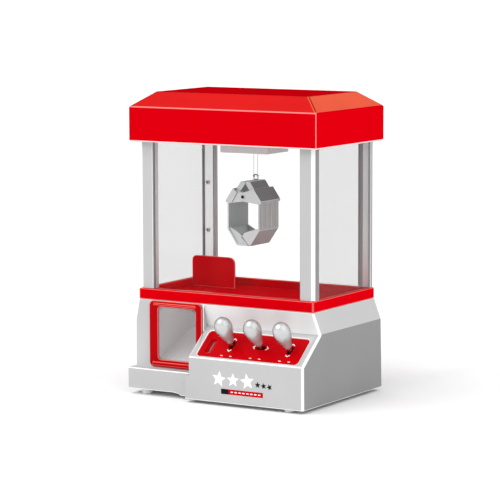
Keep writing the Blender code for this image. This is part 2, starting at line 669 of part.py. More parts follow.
def trolley():
    carrier = pivot("trolley_slide", (-3, MIDDLE_Y, ROD_Z))
    centre = (sum(TROLLEY_X) / 2, MIDDLE_Y, TROLLEY_Z[0])
    outline = rounded(TROLLEY_X, TROLLEY_Y, 1.5, 3)
    body = prism(outline, "Z", *TROLLEY_Z)
    housing = piece("trolley_housing", body, LIGHT_GREY, centre, parent=carrier)
    inner = [(TROLLEY_X[0] + 2, TROLLEY_X[1] - 2), (TROLLEY_Y[0] + 2, TROLLEY_Y[1] - 2)]
    boolean(housing, "DIFFERENCE", block(*inner, (TROLLEY_Z[0] + 2, 330)))
    for sign in (-1, 1):
        y = MIDDLE_Y + sign * ROD_SPREAD
        bore = rod((-50, y, ROD_Z), (50, y, ROD_Z), ROD_RADIUS + GAP + 0.1)
        boolean(housing, "DIFFERENCE", bore)
    boolean(housing, "DIFFERENCE", rod((-50, WINCH_Y, WINCH_Z), (50, WINCH_Y, WINCH_Z), 2.0, 16))
    for x in STRING_X:
        boolean(housing, "DIFFERENCE", rod((x, STRING_Y, 275), (x, STRING_Y, 290), 1.4, 12))

    wheel_z = ROD_Z + ROD_RADIUS + GAP + TROLLEY_WHEEL_RADIUS
    motor("trolley_motor", (0, 1, 0), (TROLLEY_WHEEL_X, 11.0, wheel_z), 18.0, 2, carrier)
    start = (TROLLEY_WHEEL_X, 20.3, wheel_z)
    reach = TROLLEY_WHEEL_RADIUS
    tyre = [(0, 1.5), (2.9, 1.5), (2.9, reach - 0.4), (3.3, reach), (7.1, reach), (7.5, reach - 0.4)]
    piece("trolley_wheel", turned(tyre, start, (0, 1, 0), 28), BLACK_RUBBER, start, True, carrier)

    pinion_y = WINCH_Y + GEAR_CENTRES
    motor("winch_motor", (1, 0, 0), (-22.8, pinion_y, WINCH_Z), 18.0, 1, carrier)
    axle = (-36.4, WINCH_Y, WINCH_Z)
    drum = [
        (0, 1.5),
        (24.4, 1.5),
        (24.4, 8.3),
        (28.4, 8.3),
        (28.4, DRUM_RADIUS),
        (41.4, DRUM_RADIUS),
        (41.4, 8.3),
        (42.8, 8.3),
        (42.8, 1.5),
        (66.9, 1.5),
    ]
    reel = piece("winch_drum", turned(drum, axle, (1, 0, 0), 28), GREY, axle, True, carrier)
    boolean(reel, "UNION", toothed(GEAR_TEETH, GEAR_X, (WINCH_Y, WINCH_Z), 0.0))
    phase = math.pi + math.pi / PINION_TEETH
    pinion = toothed(PINION_TEETH, GEAR_X, (pinion_y, WINCH_Z), phase)
    hub = (GEAR_X[0], pinion_y, WINCH_Z)
    gear = piece("winch_pinion", pinion, GREY, hub, parent=carrier)
    boolean(gear, "UNION", rod((-13.4, pinion_y, WINCH_Z), (-6, pinion_y, WINCH_Z), 1.2, 12))

    for side, x in zip(("left", "right"), STRING_X):
        ends = ((x, STRING_Y, RING_Z + 4.1), (x, STRING_Y, WINCH_Z))
        piece(f"hoist_string_{side}", rod(*ends, STRING_RADIUS, 8), STRING, ends[1], True, carrier)


def claw():
    place = (CLAW_X, MIDDLE_Y, CLAW_PIN_Z)
    lift = pivot("claw_lift", place)
    front, rear = MIDDLE_Y - CLAW_HALF_DEPTH, MIDDLE_Y + CLAW_HALF_DEPTH

    def at(points):
        return [(CLAW_X + a, CLAW_PIN_Z + b) for a, b in points]

    cap = [
        (-12.5, 8.7), (-6.3, 17.6), (6.3, 17.6), (12.5, 8.7),
        (7.4, 5.1), (0.5, 15.0), (-0.5, 15.0), (-7.4, 5.1),
    ]
    head = piece("claw_head", prism(at(cap), "Y", front + 4.6, rear - 4.6), GREY, place, parent=lift)
    core = [(-5.4, 13.0), (-5.4, -4.0), (5.4, -4.0), (5.4, 13.0)]
    boolean(head, "UNION", prism(at(core), "Y", front + 9.0, rear - 9.0))
    bore = ((CLAW_X, front - 5, CLAW_PIN_Z), (CLAW_X, rear + 5, CLAW_PIN_Z))
    boolean(head, "DIFFERENCE", rod(*bore, 2.0, 16))
    pin = [(0, 2.6), (1.0, 2.6), (1.0, 1.5), (47.3, 1.5), (47.3, 2.6), (48.3, 2.6)]
    start = (CLAW_X, front - 1.35, CLAW_PIN_Z)
    piece("claw_pin", turned(pin, start, (0, 1, 0), 16), STEEL, place, True, lift)

    eye = bmesh.new()
    around, across = 24, 8
    rings = []
    for i in range(around):
        a = 2 * math.pi * i / around
        ring = []
        for j in range(across):
            b = 2 * math.pi * j / across
            reach = 3.0 + 0.8 * math.cos(b)
            ring.append(
                eye.verts.new(
                    (
                        sum(STRING_X) / 2 + reach * math.cos(a),
                        STRING_Y + 0.8 * math.sin(b),
                        RING_Z + reach * math.sin(a),
                    )
                )
            )
        rings.append(ring)
    for i in range(around):
        for j in range(across):
            k = (j + 1) % across
            near, far = rings[i], rings[(i + 1) % around]
            eye.faces.new((near[j], far[j], far[k], near[k]))
    piece("claw_ring", eye, STEEL, place, True, lift)

    # The scoops part along a line that leans across the bottom. The right scoop's arms and end
    # plates are the outermost layer; the left scoop's lie behind them, under its own end bars.
    skins = {
        "left": [
            (-14.1, 9.82), (-24.2, -4.6), (-24.2, -7.4), (-21.9, -7.4), (-21.9, -38.8),
            (-9.0, -57.6), (7.6, -57.6), (5.4, -55.4), (-8.0, -55.4),
            (-19.9, -38.0), (-19.9, -1.3), (-14.2, 6.9), (-13.5, 9.4),
        ],
        "right": [
            (14.1, 9.82), (24.2, -4.6), (24.2, -7.4), (21.9, -7.4), (21.9, -38.8),
            (9.0, -57.6), (8.2, -57.6), (6.0, -55.4), (8.0, -55.4),
            (19.9, -38.0), (19.9, -1.3), (14.2, 6.9), (13.5, 9.4),
        ],
    }
    arms = {
        "left": [
            (0, 4.4), (-12.9, 8.0), (-21.4, -5.4), (-20.6, -9.0),
            (-5, -3.2), (0, -4.4), (3.8, -2.2), (3.8, 2.2),
        ],
        "right": [
            (-7.8, 4.0), (-3.2, 4.2), (5.9, 6.8), (13.4, 9.2), (23.4, -5.0),
            (23.4, -7.2), (20.5, -8.2), (5.9, -6.4), (-0.4, -5.4), (-15.0, -7.6),
        ],
    }
    ends = {
        "left": [(-20.4, -36.0), (-20.4, -38.4), (-8.5, -56.6), (6.5, -56.6), (-2.6, -47.0), (-6.0, -44.0)],
        "right": [(20.4, -36.0), (20.4, -38.4), (8.5, -56.6), (7.2, -56.6), (-2.0, -46.8), (2.0, -42.0)],
    }
    bar = [(-8.8, 4.9), (-13.4, 9.2), (-23.4, -5.0), (-23.4, -7.2), (-20.5, -8.2), (-16.3, -7.9)]
    behind = CLAW_PLATE + GAP
    for side, layer in (("left", behind), ("right", 0.0)):
        swing = pivot(f"{side}_scoop_pivot", place)
        made = piece(f"{side}_scoop", prism(at(skins[side]), "Y", front, rear), GREY, place, parent=swing)
        near, far = front + layer, rear - layer
        for y in ((near, near + CLAW_PLATE), (far - CLAW_PLATE, far)):
            boolean(made, "UNION", prism(at(arms[side]), "Y", *y))
            boolean(made, "UNION", prism(at(ends[side]), "Y", *y))
        if side == "left":
            for y in ((front, near + CLAW_PLATE), (far - CLAW_PLATE, rear)):
                boolean(made, "UNION", prism(at(bar), "Y", *y))
        boolean(made, "DIFFERENCE", rod(*bore, 1.9, 16))


def main():
    clear_scene()
    base()
    prize_door()
    control_box()
    tray()
    cabinet()
    roof()
    bridge()
    trolley()
    claw()


main()
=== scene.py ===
"""Looks of the tabletop claw crane machine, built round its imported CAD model.

Sizes are millimetres, with Y measured from the middle of the base's footprint; finished()
turns them into the frame's metres. The machine: a flared silver base with a control box and
a prize door, a red tray, four posts with clear windows, and a red roof over the gantry that
carries the claw. The limits in the edges, paint and lines rules are places on the CAD model.
"""

import math

import bmesh
import bpy
from mathutils import Matrix, Vector


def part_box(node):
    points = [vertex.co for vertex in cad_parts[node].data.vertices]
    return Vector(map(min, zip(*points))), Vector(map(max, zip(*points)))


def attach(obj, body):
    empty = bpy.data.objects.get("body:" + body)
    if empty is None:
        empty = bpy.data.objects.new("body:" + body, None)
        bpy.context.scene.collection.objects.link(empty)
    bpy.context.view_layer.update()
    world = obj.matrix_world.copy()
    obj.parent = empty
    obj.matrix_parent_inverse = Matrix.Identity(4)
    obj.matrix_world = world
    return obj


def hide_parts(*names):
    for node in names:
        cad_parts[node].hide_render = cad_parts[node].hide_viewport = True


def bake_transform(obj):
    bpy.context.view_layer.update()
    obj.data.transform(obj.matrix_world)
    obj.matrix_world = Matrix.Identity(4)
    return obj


MM = 0.001
BASE_Y = 5.425  # the base's middle lies this far behind the frame's origin
BASE_HALF_X, BASE_HALF_Y = 123.7, 92.9  # half the base's footprint, with the control box
WELD = 2e-6  # metres: vertices of a CAD mesh that lie closer than this are one
FLAT = math.radians(0.8)  # a smaller fold than this belongs to one flat face
# on most pieces the rounded edges carry a painted highlight line
EDGE = 1  # the number of the material for rounded edges in a piece's list
PRINT_SUNK = 0.2  # printed shapes reach this far into the plastic below them

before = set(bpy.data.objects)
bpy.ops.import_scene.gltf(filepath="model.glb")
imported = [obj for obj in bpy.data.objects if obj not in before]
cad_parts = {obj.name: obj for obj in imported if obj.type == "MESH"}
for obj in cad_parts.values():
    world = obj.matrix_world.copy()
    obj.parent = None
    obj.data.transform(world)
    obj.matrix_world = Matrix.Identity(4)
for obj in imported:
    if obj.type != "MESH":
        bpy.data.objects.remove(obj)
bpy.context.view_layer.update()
scene = bpy.context.scene
scene.view_settings.view_transform = "Standard"


def box_of(node):
    """The lowest and highest corner of a CAD node, in this script's millimetres."""
    return [corner / MM - Vector((0, BASE_Y, 0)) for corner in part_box(node)]


# ---------------------------------------------------------------- camera


def add_camera():
    """The photograph's camera: its place is in metres and its turns are in degrees."""
    place = Vector((1.50793, -2.468795, 0.52597))
    yaw, pitch, roll = (math.radians(a) for a in (31.40, -7.01, -0.17))
    level_part = math.cos(pitch)
    ahead = Vector((-math.sin(yaw) * level_part, math.cos(yaw) * level_part, math.sin(pitch)))
    level = Vector((math.cos(yaw), math.sin(yaw), 0))
    above = level.cross(ahead)
    right = math.cos(roll) * level + math.sin(roll) * above
    up = math.cos(roll) * above - math.sin(roll) * level
    lens = bpy.data.cameras.new("camera")
    lens.sensor_width = 36.0
    lens.lens = 179.245
    lens.clip_end = 50.0
    camera = bpy.data.objects.new("camera", lens)
    turn = Matrix((right, up, -ahead)).transposed().to_4x4()
    camera.matrix_world = Matrix.Translation(place) @ turn
    scene.collection.objects.link(camera)
    scene.camera = camera


add_camera()


# ---------------------------------------------------------------- materials


class Sheet:
    """A node tree that is filled in step by step."""

    def __init__(self, name):
        self.material = bpy.data.materials.new(name)
        self.material.use_nodes = True
        self.tree = self.material.node_tree
        self.shader = self.tree.nodes["Principled BSDF"]
        self.place = self.node("ShaderNodeTexCoord")

    def node(self, kind, **values):
        made = self.tree.nodes.new(kind)
        for key, value in values.items():
            setattr(made, key, value)
        return made

    def link(self, a, b):
        self.tree.links.new(a, b)

    def noise(self, scale, detail=3.0, stretch=None):
        """Noise in the piece's own space, with about this many spots to a metre."""
        source = self.place.outputs["Object"]
        if stretch:
            mapping = self.node("ShaderNodeMapping")
            mapping.inputs["Scale"].default_value = stretch
            self.link(source, mapping.inputs["Vector"])
            source = mapping.outputs["Vector"]
        made = self.node("ShaderNodeTexNoise")
        made.inputs["Scale"].default_value = scale
        made.inputs["Detail"].default_value = detail
        self.link(source, made.inputs["Vector"])
        return made.outputs["Fac"]

    def spread(self, value, low, high, to_low, to_high):
        """A value between low and high, carried over to lie between to_low and to_high."""
        made = self.node("ShaderNodeMapRange")
        limits = {"From Min": low, "From Max": high, "To Min": to_low, "To Max": to_high}
        for key, number in limits.items():
            made.inputs[key].default_value = number
        self.link(value, made.inputs["Value"])
        return made.outputs["Result"]

    def mix(self, factor, a, b, blend="MIX"):
        """a blended with b, each of them a colour or another node's output."""
        made = self.node("ShaderNodeMix", data_type="RGBA", blend_type=blend)
        if isinstance(factor, float):
            made.inputs[0].default_value = factor
        else:
            self.link(factor, made.inputs[0])
        for socket, value in ((made.inputs[6], a), (made.inputs[7], b)):
            if isinstance(value, tuple):
                socket.default_value = (*value, 1.0)
            else:
                self.link(value, socket)
        return made.outputs[2]

    def facing(self, direction, low, high):
        """1 where the surface faces direction, 0 where it faces away from it."""
        dot = self.node("ShaderNodeVectorMath", operation="DOT_PRODUCT")
        dot.inputs[1].default_value = direction
        self.link(self.place.outputs["Normal"], dot.inputs[0])
        return self.spread(dot.outputs["Value"], low, high, 0.0, 1.0)

    def bump(self, height, strength):
        made = self.node("ShaderNodeBump")
        made.inputs["Strength"].default_value = strength
        made.inputs["Distance"].default_value = 0.0002
        self.link(height, made.inputs["Height"])
        self.link(made.outputs["Normal"], self.shader.inputs["Normal"])


def tinted(colour, share):
    """The colour times share, no brighter than white."""
    return tuple(min(1.0, c * share) for c in colour)


def moulded(
    name, colour, rough, metallic=0.0, specular=0.4, coat=0.0, tone=0.05, grain=0.05,
    grain_size=1400.0, sides=None, alpha=None, stretch=None,
):
    """Moulded plastic, paint or metal: slow changes of tone, a fine grain and handled patches.

    sides is a share of the colour on faces that look along X. alpha is how opaque a clear sheet
    is when seen straight on and at a grazing angle. stretch squeezes the noise along each axis.
    """
    sheet = Sheet(name)
    shader = sheet.shader
    slow = sheet.spread(sheet.noise(14.0, 4.0, stretch), 0.3, 0.7, 0.0, 1.0)
    painted = sheet.mix(slow, tinted(colour, 1 - tone), tinted(colour, 1 + tone))
    # painted shade (a share below 1) and painted light (a share above 1) on the faces along X
    if sides is not None:
        for direction in ((1, 0, 0), (-1, 0, 0)):
            shaded = sheet.mix(1.0, painted, (sides,) * 3, "MULTIPLY")
            painted = sheet.mix(sheet.facing(direction, 0.985, 0.995), painted, shaded)
    specks = sheet.spread(sheet.noise(420.0, 2.0), 0.66, 0.8, 0.0, 0.2)
    painted = sheet.mix(specks, painted, tinted(colour, 0.9))
    sheet.link(painted, shader.inputs["Base Color"])
    handled = sheet.spread(
        sheet.noise(55.0, 5.0, stretch), 0.3, 0.75, max(0.02, rough - 0.03), rough + 0.04
    )
    sheet.link(handled, shader.inputs["Roughness"])
    sheet.bump(sheet.noise(grain_size, 2.0, stretch), grain)
    shader.inputs["Metallic"].default_value = metallic
    shader.inputs["Specular IOR Level"].default_value = specular
    shader.inputs["Coat Weight"].default_value = coat
    shader.inputs["Coat Roughness"].default_value = 0.08
    if alpha is not None:
        rim = sheet.node("ShaderNodeLayerWeight")
        rim.inputs["Blend"].default_value = 0.35
        smear = sheet.spread(sheet.noise(20.0, 4.0), 0.4, 0.75, 0.0, 0.004)
        base = sheet.spread(rim.outputs["Facing"], 0.0, 1.0, *alpha)
        total = sheet.node("ShaderNodeMath", operation="ADD")
        sheet.link(base, total.inputs[0])
        sheet.link(smear, total.inputs[1])
        sheet.link(total.outputs["Value"], shader.inputs["Alpha"])
    return sheet.material


def brushed(name, colour, rough, along):
    """Drawn metal with fine lines along the axis given."""
    stretch = tuple(0.06 if axis == along else 1.0 for axis in "XYZ")
    return moulded(
        name, colour, rough, 1.0, 0.5, tone=0.08, grain=0.12, grain_size=2600.0, stretch=stretch
    )


def twisted(name, colour):
    """A laid cord: slanting strands across it, with painted shade between them."""
    sheet = Sheet(name)
    wave = sheet.node("ShaderNodeTexWave", bands_direction="DIAGONAL")
    wave.inputs["Scale"].default_value = 420.0
    sheet.link(sheet.place.outputs["Object"], wave.inputs["Vector"])
    strands = wave.outputs["Fac"]
    fuzz = sheet.mix(sheet.noise(2200.0, 2.0), tinted(colour, 0.85), colour)
    # darker between the strands: painted shade in the grooves
    sheet.link(sheet.mix(strands, tinted(colour, 0.6), fuzz), sheet.shader.inputs["Base Color"])
    sheet.bump(strands, 0.6)
    sheet.link(sheet.spread(strands, 0.0, 1.0, 0.95, 0.75), sheet.shader.inputs["Roughness"])
    return sheet.material


def silver_paint_with_painted_shade(name, face, rim):
    """Glossy silver paint, with painted shade where the surface turns away from the viewer."""
    sheet = Sheet(name)
    rim_shade = sheet.node("ShaderNodeLayerWeight")
    rim_shade.inputs["Blend"].default_value = 0.5
    patches = sheet.spread(sheet.noise(70.0, 4.0), 0.35, 0.7, 0.0, 1.0)
    cloud = sheet.mix(patches, tinted(face, 0.88), face)
    # painted shade: the colour darkens towards rim where the surface turns away
    share = sheet.spread(rim_shade.outputs["Facing"], 0.25, 1.0, 0.0, 1.0)
    sheet.link(sheet.mix(share, cloud, rim), sheet.shader.inputs["Base Color"])
    handled = sheet.spread(sheet.noise(180.0, 3.0), 0.3, 0.7, 0.12, 0.24)
    sheet.link(handled, sheet.shader.inputs["Roughness"])
    sheet.bump(sheet.noise(900.0, 2.0), 0.03)
    sheet.shader.inputs["Metallic"].default_value = 0.35
    sheet.shader.inputs["Coat Weight"].default_value = 0.6
    return sheet.material


def circuit(name):
    """Solder mask with copper tracks under it."""
    sheet = Sheet(name)
    tracks = sheet.node("ShaderNodeTexBrick")
    tracks.inputs["Scale"].default_value = 120.0
    tracks.inputs["Mortar Size"].default_value = 0.03
    greens = {
        "Color1": (0.01, 0.16, 0.05), "Color2": (0.012, 0.2, 0.07), "Mortar": (0.05, 0.34, 0.14),
    }
    for socket, value in greens.items():
        tracks.inputs[socket].default_value = (*value, 1.0)
    sheet.link(sheet.place.outputs["Object"], tracks.inputs["Vector"])
    tone = sheet.mix(sheet.noise(60.0), (0.8, 0.8, 0.8), (1.0, 1.0, 1.0))
    colour = sheet.mix(1.0, tracks.outputs["Color"], tone, "MULTIPLY")
    sheet.link(colour, sheet.shader.inputs["Base Color"])
    rough = sheet.spread(sheet.noise(300.0), 0.3, 0.7, 0.25, 0.5)
    sheet.link(rough, sheet.shader.inputs["Roughness"])
    return sheet.material


# red plastic; its faces along X get painted light
RED = moulded(
    "red_plastic", (0.60, 0.0, 0.004), 0.35, specular=0.0, grain=0.02, tone=0.03, sides=1.2
)
# deeper red plastic; its faces along X get a little painted light
RED_DEEP = moulded(
    "red_plastic_deep", (0.44, 0.0, 0.003), 0.3, specular=0.03, grain=0.02, tone=0.1, sides=1.1
)
RED_PANEL = moulded("red_panel", (0.50, 0.0, 0.003), 0.25, specular=0.03, grain=0.03, tone=0.16)
# painted highlight for rounded red edges
RED_EDGE_HIGHLIGHT = moulded("red_edge_painted_highlight", (0.86, 0.21, 0.19), 0.3, specular=0.15, grain=0.02, tone=0.03)
# painted highlight along the roof's lower edge
RED_HEM_HIGHLIGHT = moulded("red_roof_hem_painted_highlight", (0.98, 0.72, 0.70), 0.3, specular=0.3, grain=0.02, tone=0.03)
# brighter painted highlight for red ridges and upper edges
RED_RIDGE_HIGHLIGHT = moulded("red_ridge_painted_highlight", (0.90, 0.11, 0.08), 0.25, specular=0.2, grain=0.02, tone=0.05)
# the roof's flat top: matt red, painted darker as shade
RED_TOP_SHADED = moulded("red_roof_top_painted_shade", (0.44, 0.0, 0.003), 0.8, specular=0.0, grain=0.08, tone=0.05)
# the roof's side slopes, painted lighter and more orange as light
RED_SIDE_SLOPE_LIT = moulded(
    "red_roof_side_slope_painted_light", (0.74, 0.085, 0.032), 0.4, specular=0.03, grain=0.03, tone=0.06
)
RED_SLOPE = moulded(
    "red_roof_slope", (0.60, 0.0087, 0.0087), 0.4, specular=0.02, grain=0.03, tone=0.04
)
# painted shade for red edges: the roof's hips and the panel's lower and right edges
RED_EDGE_SHADE = moulded("red_edge_painted_shade", (0.30, 0.0, 0.003), 0.4, specular=0.02, grain=0.04, tone=0.04)
# silver paint; its faces along X get painted shade
SILVER = moulded(
    "silver_paint", (0.49, 0.49, 0.495), 0.45, 0.1, 0.3, grain=0.05, tone=0.03, sides=0.55
)
# the silver wall above the control panel, painted lighter as light
SILVER_WALL_LIT = moulded(
    "silver_paint_wall_painted_light", (0.80, 0.83, 0.83), 0.4, 0.35, 0.2, grain=0.005, tone=0.03
)
# the leaning band of the base's sides, painted lighter as light
SILVER_FLARE_LIT = moulded(
    "silver_paint_flare_painted_light", (0.56, 0.56, 0.565), 0.45, 0.1, 0.3, grain=0.05, tone=0.02
)
# post silver; its faces along X get painted shade
SILVER_POST = moulded(
    "silver_post", (0.48, 0.48, 0.485), 0.4, 0.1, 0.3, grain=0.04, tone=0.03, sides=0.52
)
# the front left post's copy of that silver, with painted light on its faces along X
SILVER_POST_LEFT_LIT = moulded(
    "silver_post_left_painted_light", (0.48, 0.48, 0.485), 0.4, 0.1, 0.3, grain=0.04, tone=0.03, sides=1.2
)
# the rear left post's copy of the silver, painted lighter as light, with painted shade on its faces
# along X
SILVER_POST_REAR_LIT = moulded(
    "silver_post_rear_painted_light_and_shade", (0.95, 0.965, 0.97), 0.3, 0.8, 0.4, grain=0.002, tone=0.03, sides=0.16
)
# the rear right post's copy of the silver, painted lighter as light, with painted shade on its
# faces along X
SILVER_POST_REAR_RIGHT_LIT = moulded(
    "silver_post_rear_right_painted_light_and_shade", (0.92, 0.95, 0.955), 0.42, 0.5, 0.3, grain=0.004, tone=0.05,
    sides=0.34,
)
# painted highlight for rounded silver edges and the posts' chamfers
SILVER_EDGE_HIGHLIGHT = moulded(
    "silver_edge_painted_highlight", (0.93, 0.93, 0.94), 0.3, specular=0.5, grain=0.03, tone=0.02
)
# light grey plastic; its faces along X get a little painted light
LIGHT_GREY = moulded("light_grey_plastic", (0.68, 0.69, 0.70), 0.45, grain=0.07, sides=1.1)
CHUTE_GREY = moulded("chute_grey_plastic", (0.74, 0.745, 0.75), 0.4, grain=0.07)
# claw grey; its faces along X get painted shade
CLAW_GREY = moulded(
    "claw_grey_plastic", (0.54, 0.56, 0.565), 0.4, 0.05, 0.3, grain=0.06, sides=0.76
)
# the claw's dark roof plates, and painted shade in the cap's split
CLAW_DARK_AND_SHADE = moulded("claw_roof_plates_and_painted_shade", (0.205, 0.21, 0.212), 0.5, 0.0, 0.2, grain=0.08, tone=0.12)
# the scoops' lower slopes, painted darker as shade
CLAW_UNDER_SHADE = moulded(
    "claw_lower_slopes_painted_shade", (0.33, 0.36, 0.365), 0.45, 0.0, 0.2, grain=0.06, tone=0.06
)
# pale grey of the rivet, and painted highlight for the claw's rounded edges
CLAW_PALE_AND_HIGHLIGHT = moulded("claw_pale_grey_and_painted_highlight", (0.70, 0.70, 0.71), 0.35, grain=0.04)
SCREW = moulded("screw_steel", (0.66, 0.66, 0.67), 0.25, 0.7, 0.5, grain=0.04, tone=0.06)
# painted shade inside the screws' cross recesses
SCREW_RECESS_SHADE = moulded("screw_recess_painted_shade", (0.05, 0.05, 0.052), 0.5, 0.3, 0.3, grain=0.08)
GEAR_GREY = moulded("gear_grey_plastic", (0.40, 0.40, 0.42), 0.4, grain=0.05)
BLACK = moulded("black_plastic", (0.02, 0.02, 0.022), 0.45, grain=0.1)
BLACK_PRINT = moulded("black_print", (0.006, 0.006, 0.007), 0.6, specular=0.08, grain=0.02)
# painted shadow in the scoops' seam and in the rivet's hollow ends
CLAW_SHADOW = moulded("claw_painted_shadow", (0.02, 0.02, 0.021), 0.7, specular=0.1, grain=0.05)
# white print, and the painted highlight dashes on the control plate
WHITE = moulded("white_print_and_painted_highlight", (0.93, 0.93, 0.93), 0.5, grain=0.02, tone=0.02)
CLEAR = moulded(
    "clear_plastic", (0.85, 0.87, 0.88), 0.05, grain=0.004, tone=0.02, alpha=(0.0, 0.02)
)
CLEAR_SIDE = moulded(
    "clear_plastic_side", (0.06, 0.06, 0.062), 0.15, specular=0.2, grain=0.0, tone=0.02,
    alpha=(0.16, 0.22),
)
CLEAR_FLAP = moulded(
    "clear_plastic_flap", (0.88, 0.89, 0.9), 0.04, grain=0.004, tone=0.02, alpha=(0.06, 0.3)
)
CLEAR_REAR = moulded(
    "clear_plastic_rear", (0.80, 0.82, 0.83), 0.05, grain=0.004, tone=0.02, alpha=(0.01, 0.14)
)
CLEAR_EDGE = moulded(
    "clear_plastic_edge", (0.75, 0.78, 0.79), 0.1, grain=0.02, tone=0.02, alpha=(0.25, 0.5)
)
# dark gasket, also painted shadow of the gap beside the posts
GASKET_AND_SHADOW = moulded("window_gasket_and_painted_shadow", (0.21, 0.21, 0.215), 0.6, specular=0.1, grain=0.08)
# grey gasket, and the painted shade strip on the rear right post
GREY_GASKET_AND_SHADE = moulded("rear_door_gasket", (0.40, 0.40, 0.405), 0.6, specular=0.1, grain=0.08)
# the knobs' silver, painted darker as shade towards their outlines
KNOB = silver_paint_with_painted_shade("knob_silver", (0.62, 0.63, 0.635), (0.10, 0.10, 0.105))
STEEL = brushed("steel", (0.62, 0.63, 0.65), 0.24, "Z")
STEEL_X = brushed("steel_drawn_x", (0.62, 0.63, 0.65), 0.2, "X")
STEEL_Y = brushed("steel_drawn_y", (0.62, 0.63, 0.65), 0.2, "Y")
FOOT = moulded("foot_rubber", (0.72, 0.72, 0.71), 0.16, specular=0.7, coat=0.6, grain=0.05)
TYRE = moulded(
    "wheel_rubber", (0.018, 0.018, 0.018), 0.8, specular=0.2, grain=0.3, grain_size=900.0
)
BOARD = circuit("circuit_board_green")
CORD = twisted("hoist_cord", (0.74, 0.74, 0.73))


# ---------------------------------------------------------------- shapes


def prism(outline, axis, low, high):
    """A closed extrusion of a 2-D outline along X (of y, z), Y (of x, z) or Z (of x, y)."""
    order = {
        "X": lambda a, b, c: (c, a, b),
        "Y": lambda a, b, c: (a, c, b),
        "Z": lambda a, b, c: (a, b, c),
    }[axis]
    bm = bmesh.new()
    ends = [[bm.verts.new(order(a, b, c)) for a, b in outline] for c in (low, high)]
    bm.faces.new(ends[0])
    bm.faces.new(ends[1])
    for i in range(len(outline)):
        j = (i + 1) % len(outline)
        bm.faces.new((ends[0][i], ends[0][j], ends[1][j], ends[1][i]))
    bmesh.ops.recalc_face_normals(bm, faces=bm.faces)
    return bm


def block(x, y, z):
    """A box from its limits along each axis."""
    return prism([(x[0], y[0]), (x[1], y[0]), (x[1], y[1]), (x[0], y[1])], "Z", z[0], z[1])


def rounded(x, y, radius, steps=6):
    """The outline of a rectangle with round corners, anticlockwise."""
    points = []
    corners = [(x[1], y[0], -90), (x[1], y[1], 0), (x[0], y[1], 90), (x[0], y[0], 180)]
    for cx, cy, start in corners:
        mx = cx - math.copysign(radius, cx - (x[0] + x[1]) / 2)
        my = cy - math.copysign(radius, cy - (y[0] + y[1]) / 2)
        for i in range(steps + 1):
            a = math.radians(start + 90 * i / steps)
            points.append((mx + radius * math.cos(a), my + radius * math.sin(a)))
    return points


def turned(profile, start, direction, sides=48):
    """A solid of revolution: profile lists (height, radius) along direction from start."""
    bm = bmesh.new()
    rings = []
    for height, radius in profile:
        if radius < 1e-6:
            rings.append([bm.verts.new((0, 0, height))])
            continue
        angles = [2 * math.pi * i / sides for i in range(sides)]
        spots = [(radius * math.cos(a), radius * math.sin(a), height) for a in angles]
        rings.append([bm.verts.new(spot) for spot in spots])
    for low, high in zip(rings, rings[1:]):
        for i in range(sides):
            j = (i + 1) % sides
            ends = [low[i % len(low)], low[j % len(low)], high[j % len(high)], high[i % len(high)]]
            bm.faces.new(list(dict.fromkeys(ends)))
    for ring in (rings[0], rings[-1]):
        if len(ring) > 1:
            bm.faces.new(ring)
    turn = Vector(direction).to_track_quat("Z", "Y").to_matrix().to_4x4()
    bmesh.ops.transform(bm, matrix=Matrix.Translation(Vector(start)) @ turn, verts=bm.verts)
    bmesh.ops.recalc_face_normals(bm, faces=bm.faces)
    return bm


def flowing(points, steps=5):
    """A smooth curve through points (height, radius), never below the first height or radius 0."""
    result = []
    for i in range(len(points) - 1):
        p = [Vector(points[min(max(k, 0), len(points) - 1)]) for k in (i - 1, i, i + 1, i + 2)]
        for j in range(steps):
            t = j / steps
            spot = 0.5 * (
                2 * p[1]
                + (p[2] - p[0]) * t
                + (2 * p[0] - 5 * p[1] + 4 * p[2] - p[3]) * t * t
                + (3 * p[1] - p[0] - 3 * p[2] + p[3]) * t**3
            )
            result.append((max(points[0][0], spot.x), max(0.0, spot.y)))
    result.append(tuple(points[-1]))
    return result


def tube(path, radius, sides=10, closed=False):
    """A round tube along a path."""
    bm = bmesh.new()
    rings = []
    count = len(path)
    for i, spot in enumerate(path):
        spot = Vector(spot)
        before = Vector(path[(i - 1) % count] if closed or i else path[0])
        after = Vector(path[(i + 1) % count] if closed or i < count - 1 else path[-1])
        turn = (after - before).to_track_quat("Z", "Y")
        ring = []
        for j in range(sides):
            a = 2 * math.pi * j / sides
            out = turn @ Vector((radius * math.cos(a), radius * math.sin(a), 0))
            ring.append(bm.verts.new(spot + out))
        rings.append(ring)
    pairs = zip(rings, rings[1:] + rings[:1]) if closed else zip(rings, rings[1:])
    for low, high in pairs:
        for i in range(sides):
            j = (i + 1) % sides
            bm.faces.new((low[i], low[j], high[j], high[i]))
    if not closed:
        bm.faces.new(rings[0])
        bm.faces.new(rings[-1])
    bmesh.ops.recalc_face_normals(bm, faces=bm.faces)
    return bm


def joined(*parts):
    """Several meshes in one, each still whole."""
    bm = bmesh.new()
    for part in parts:
        mesh = bpy.data.meshes.new("part")
        part.to_mesh(mesh)
        part.free()
        bm.from_mesh(mesh)
        bpy.data.meshes.remove(mesh)
    return bm


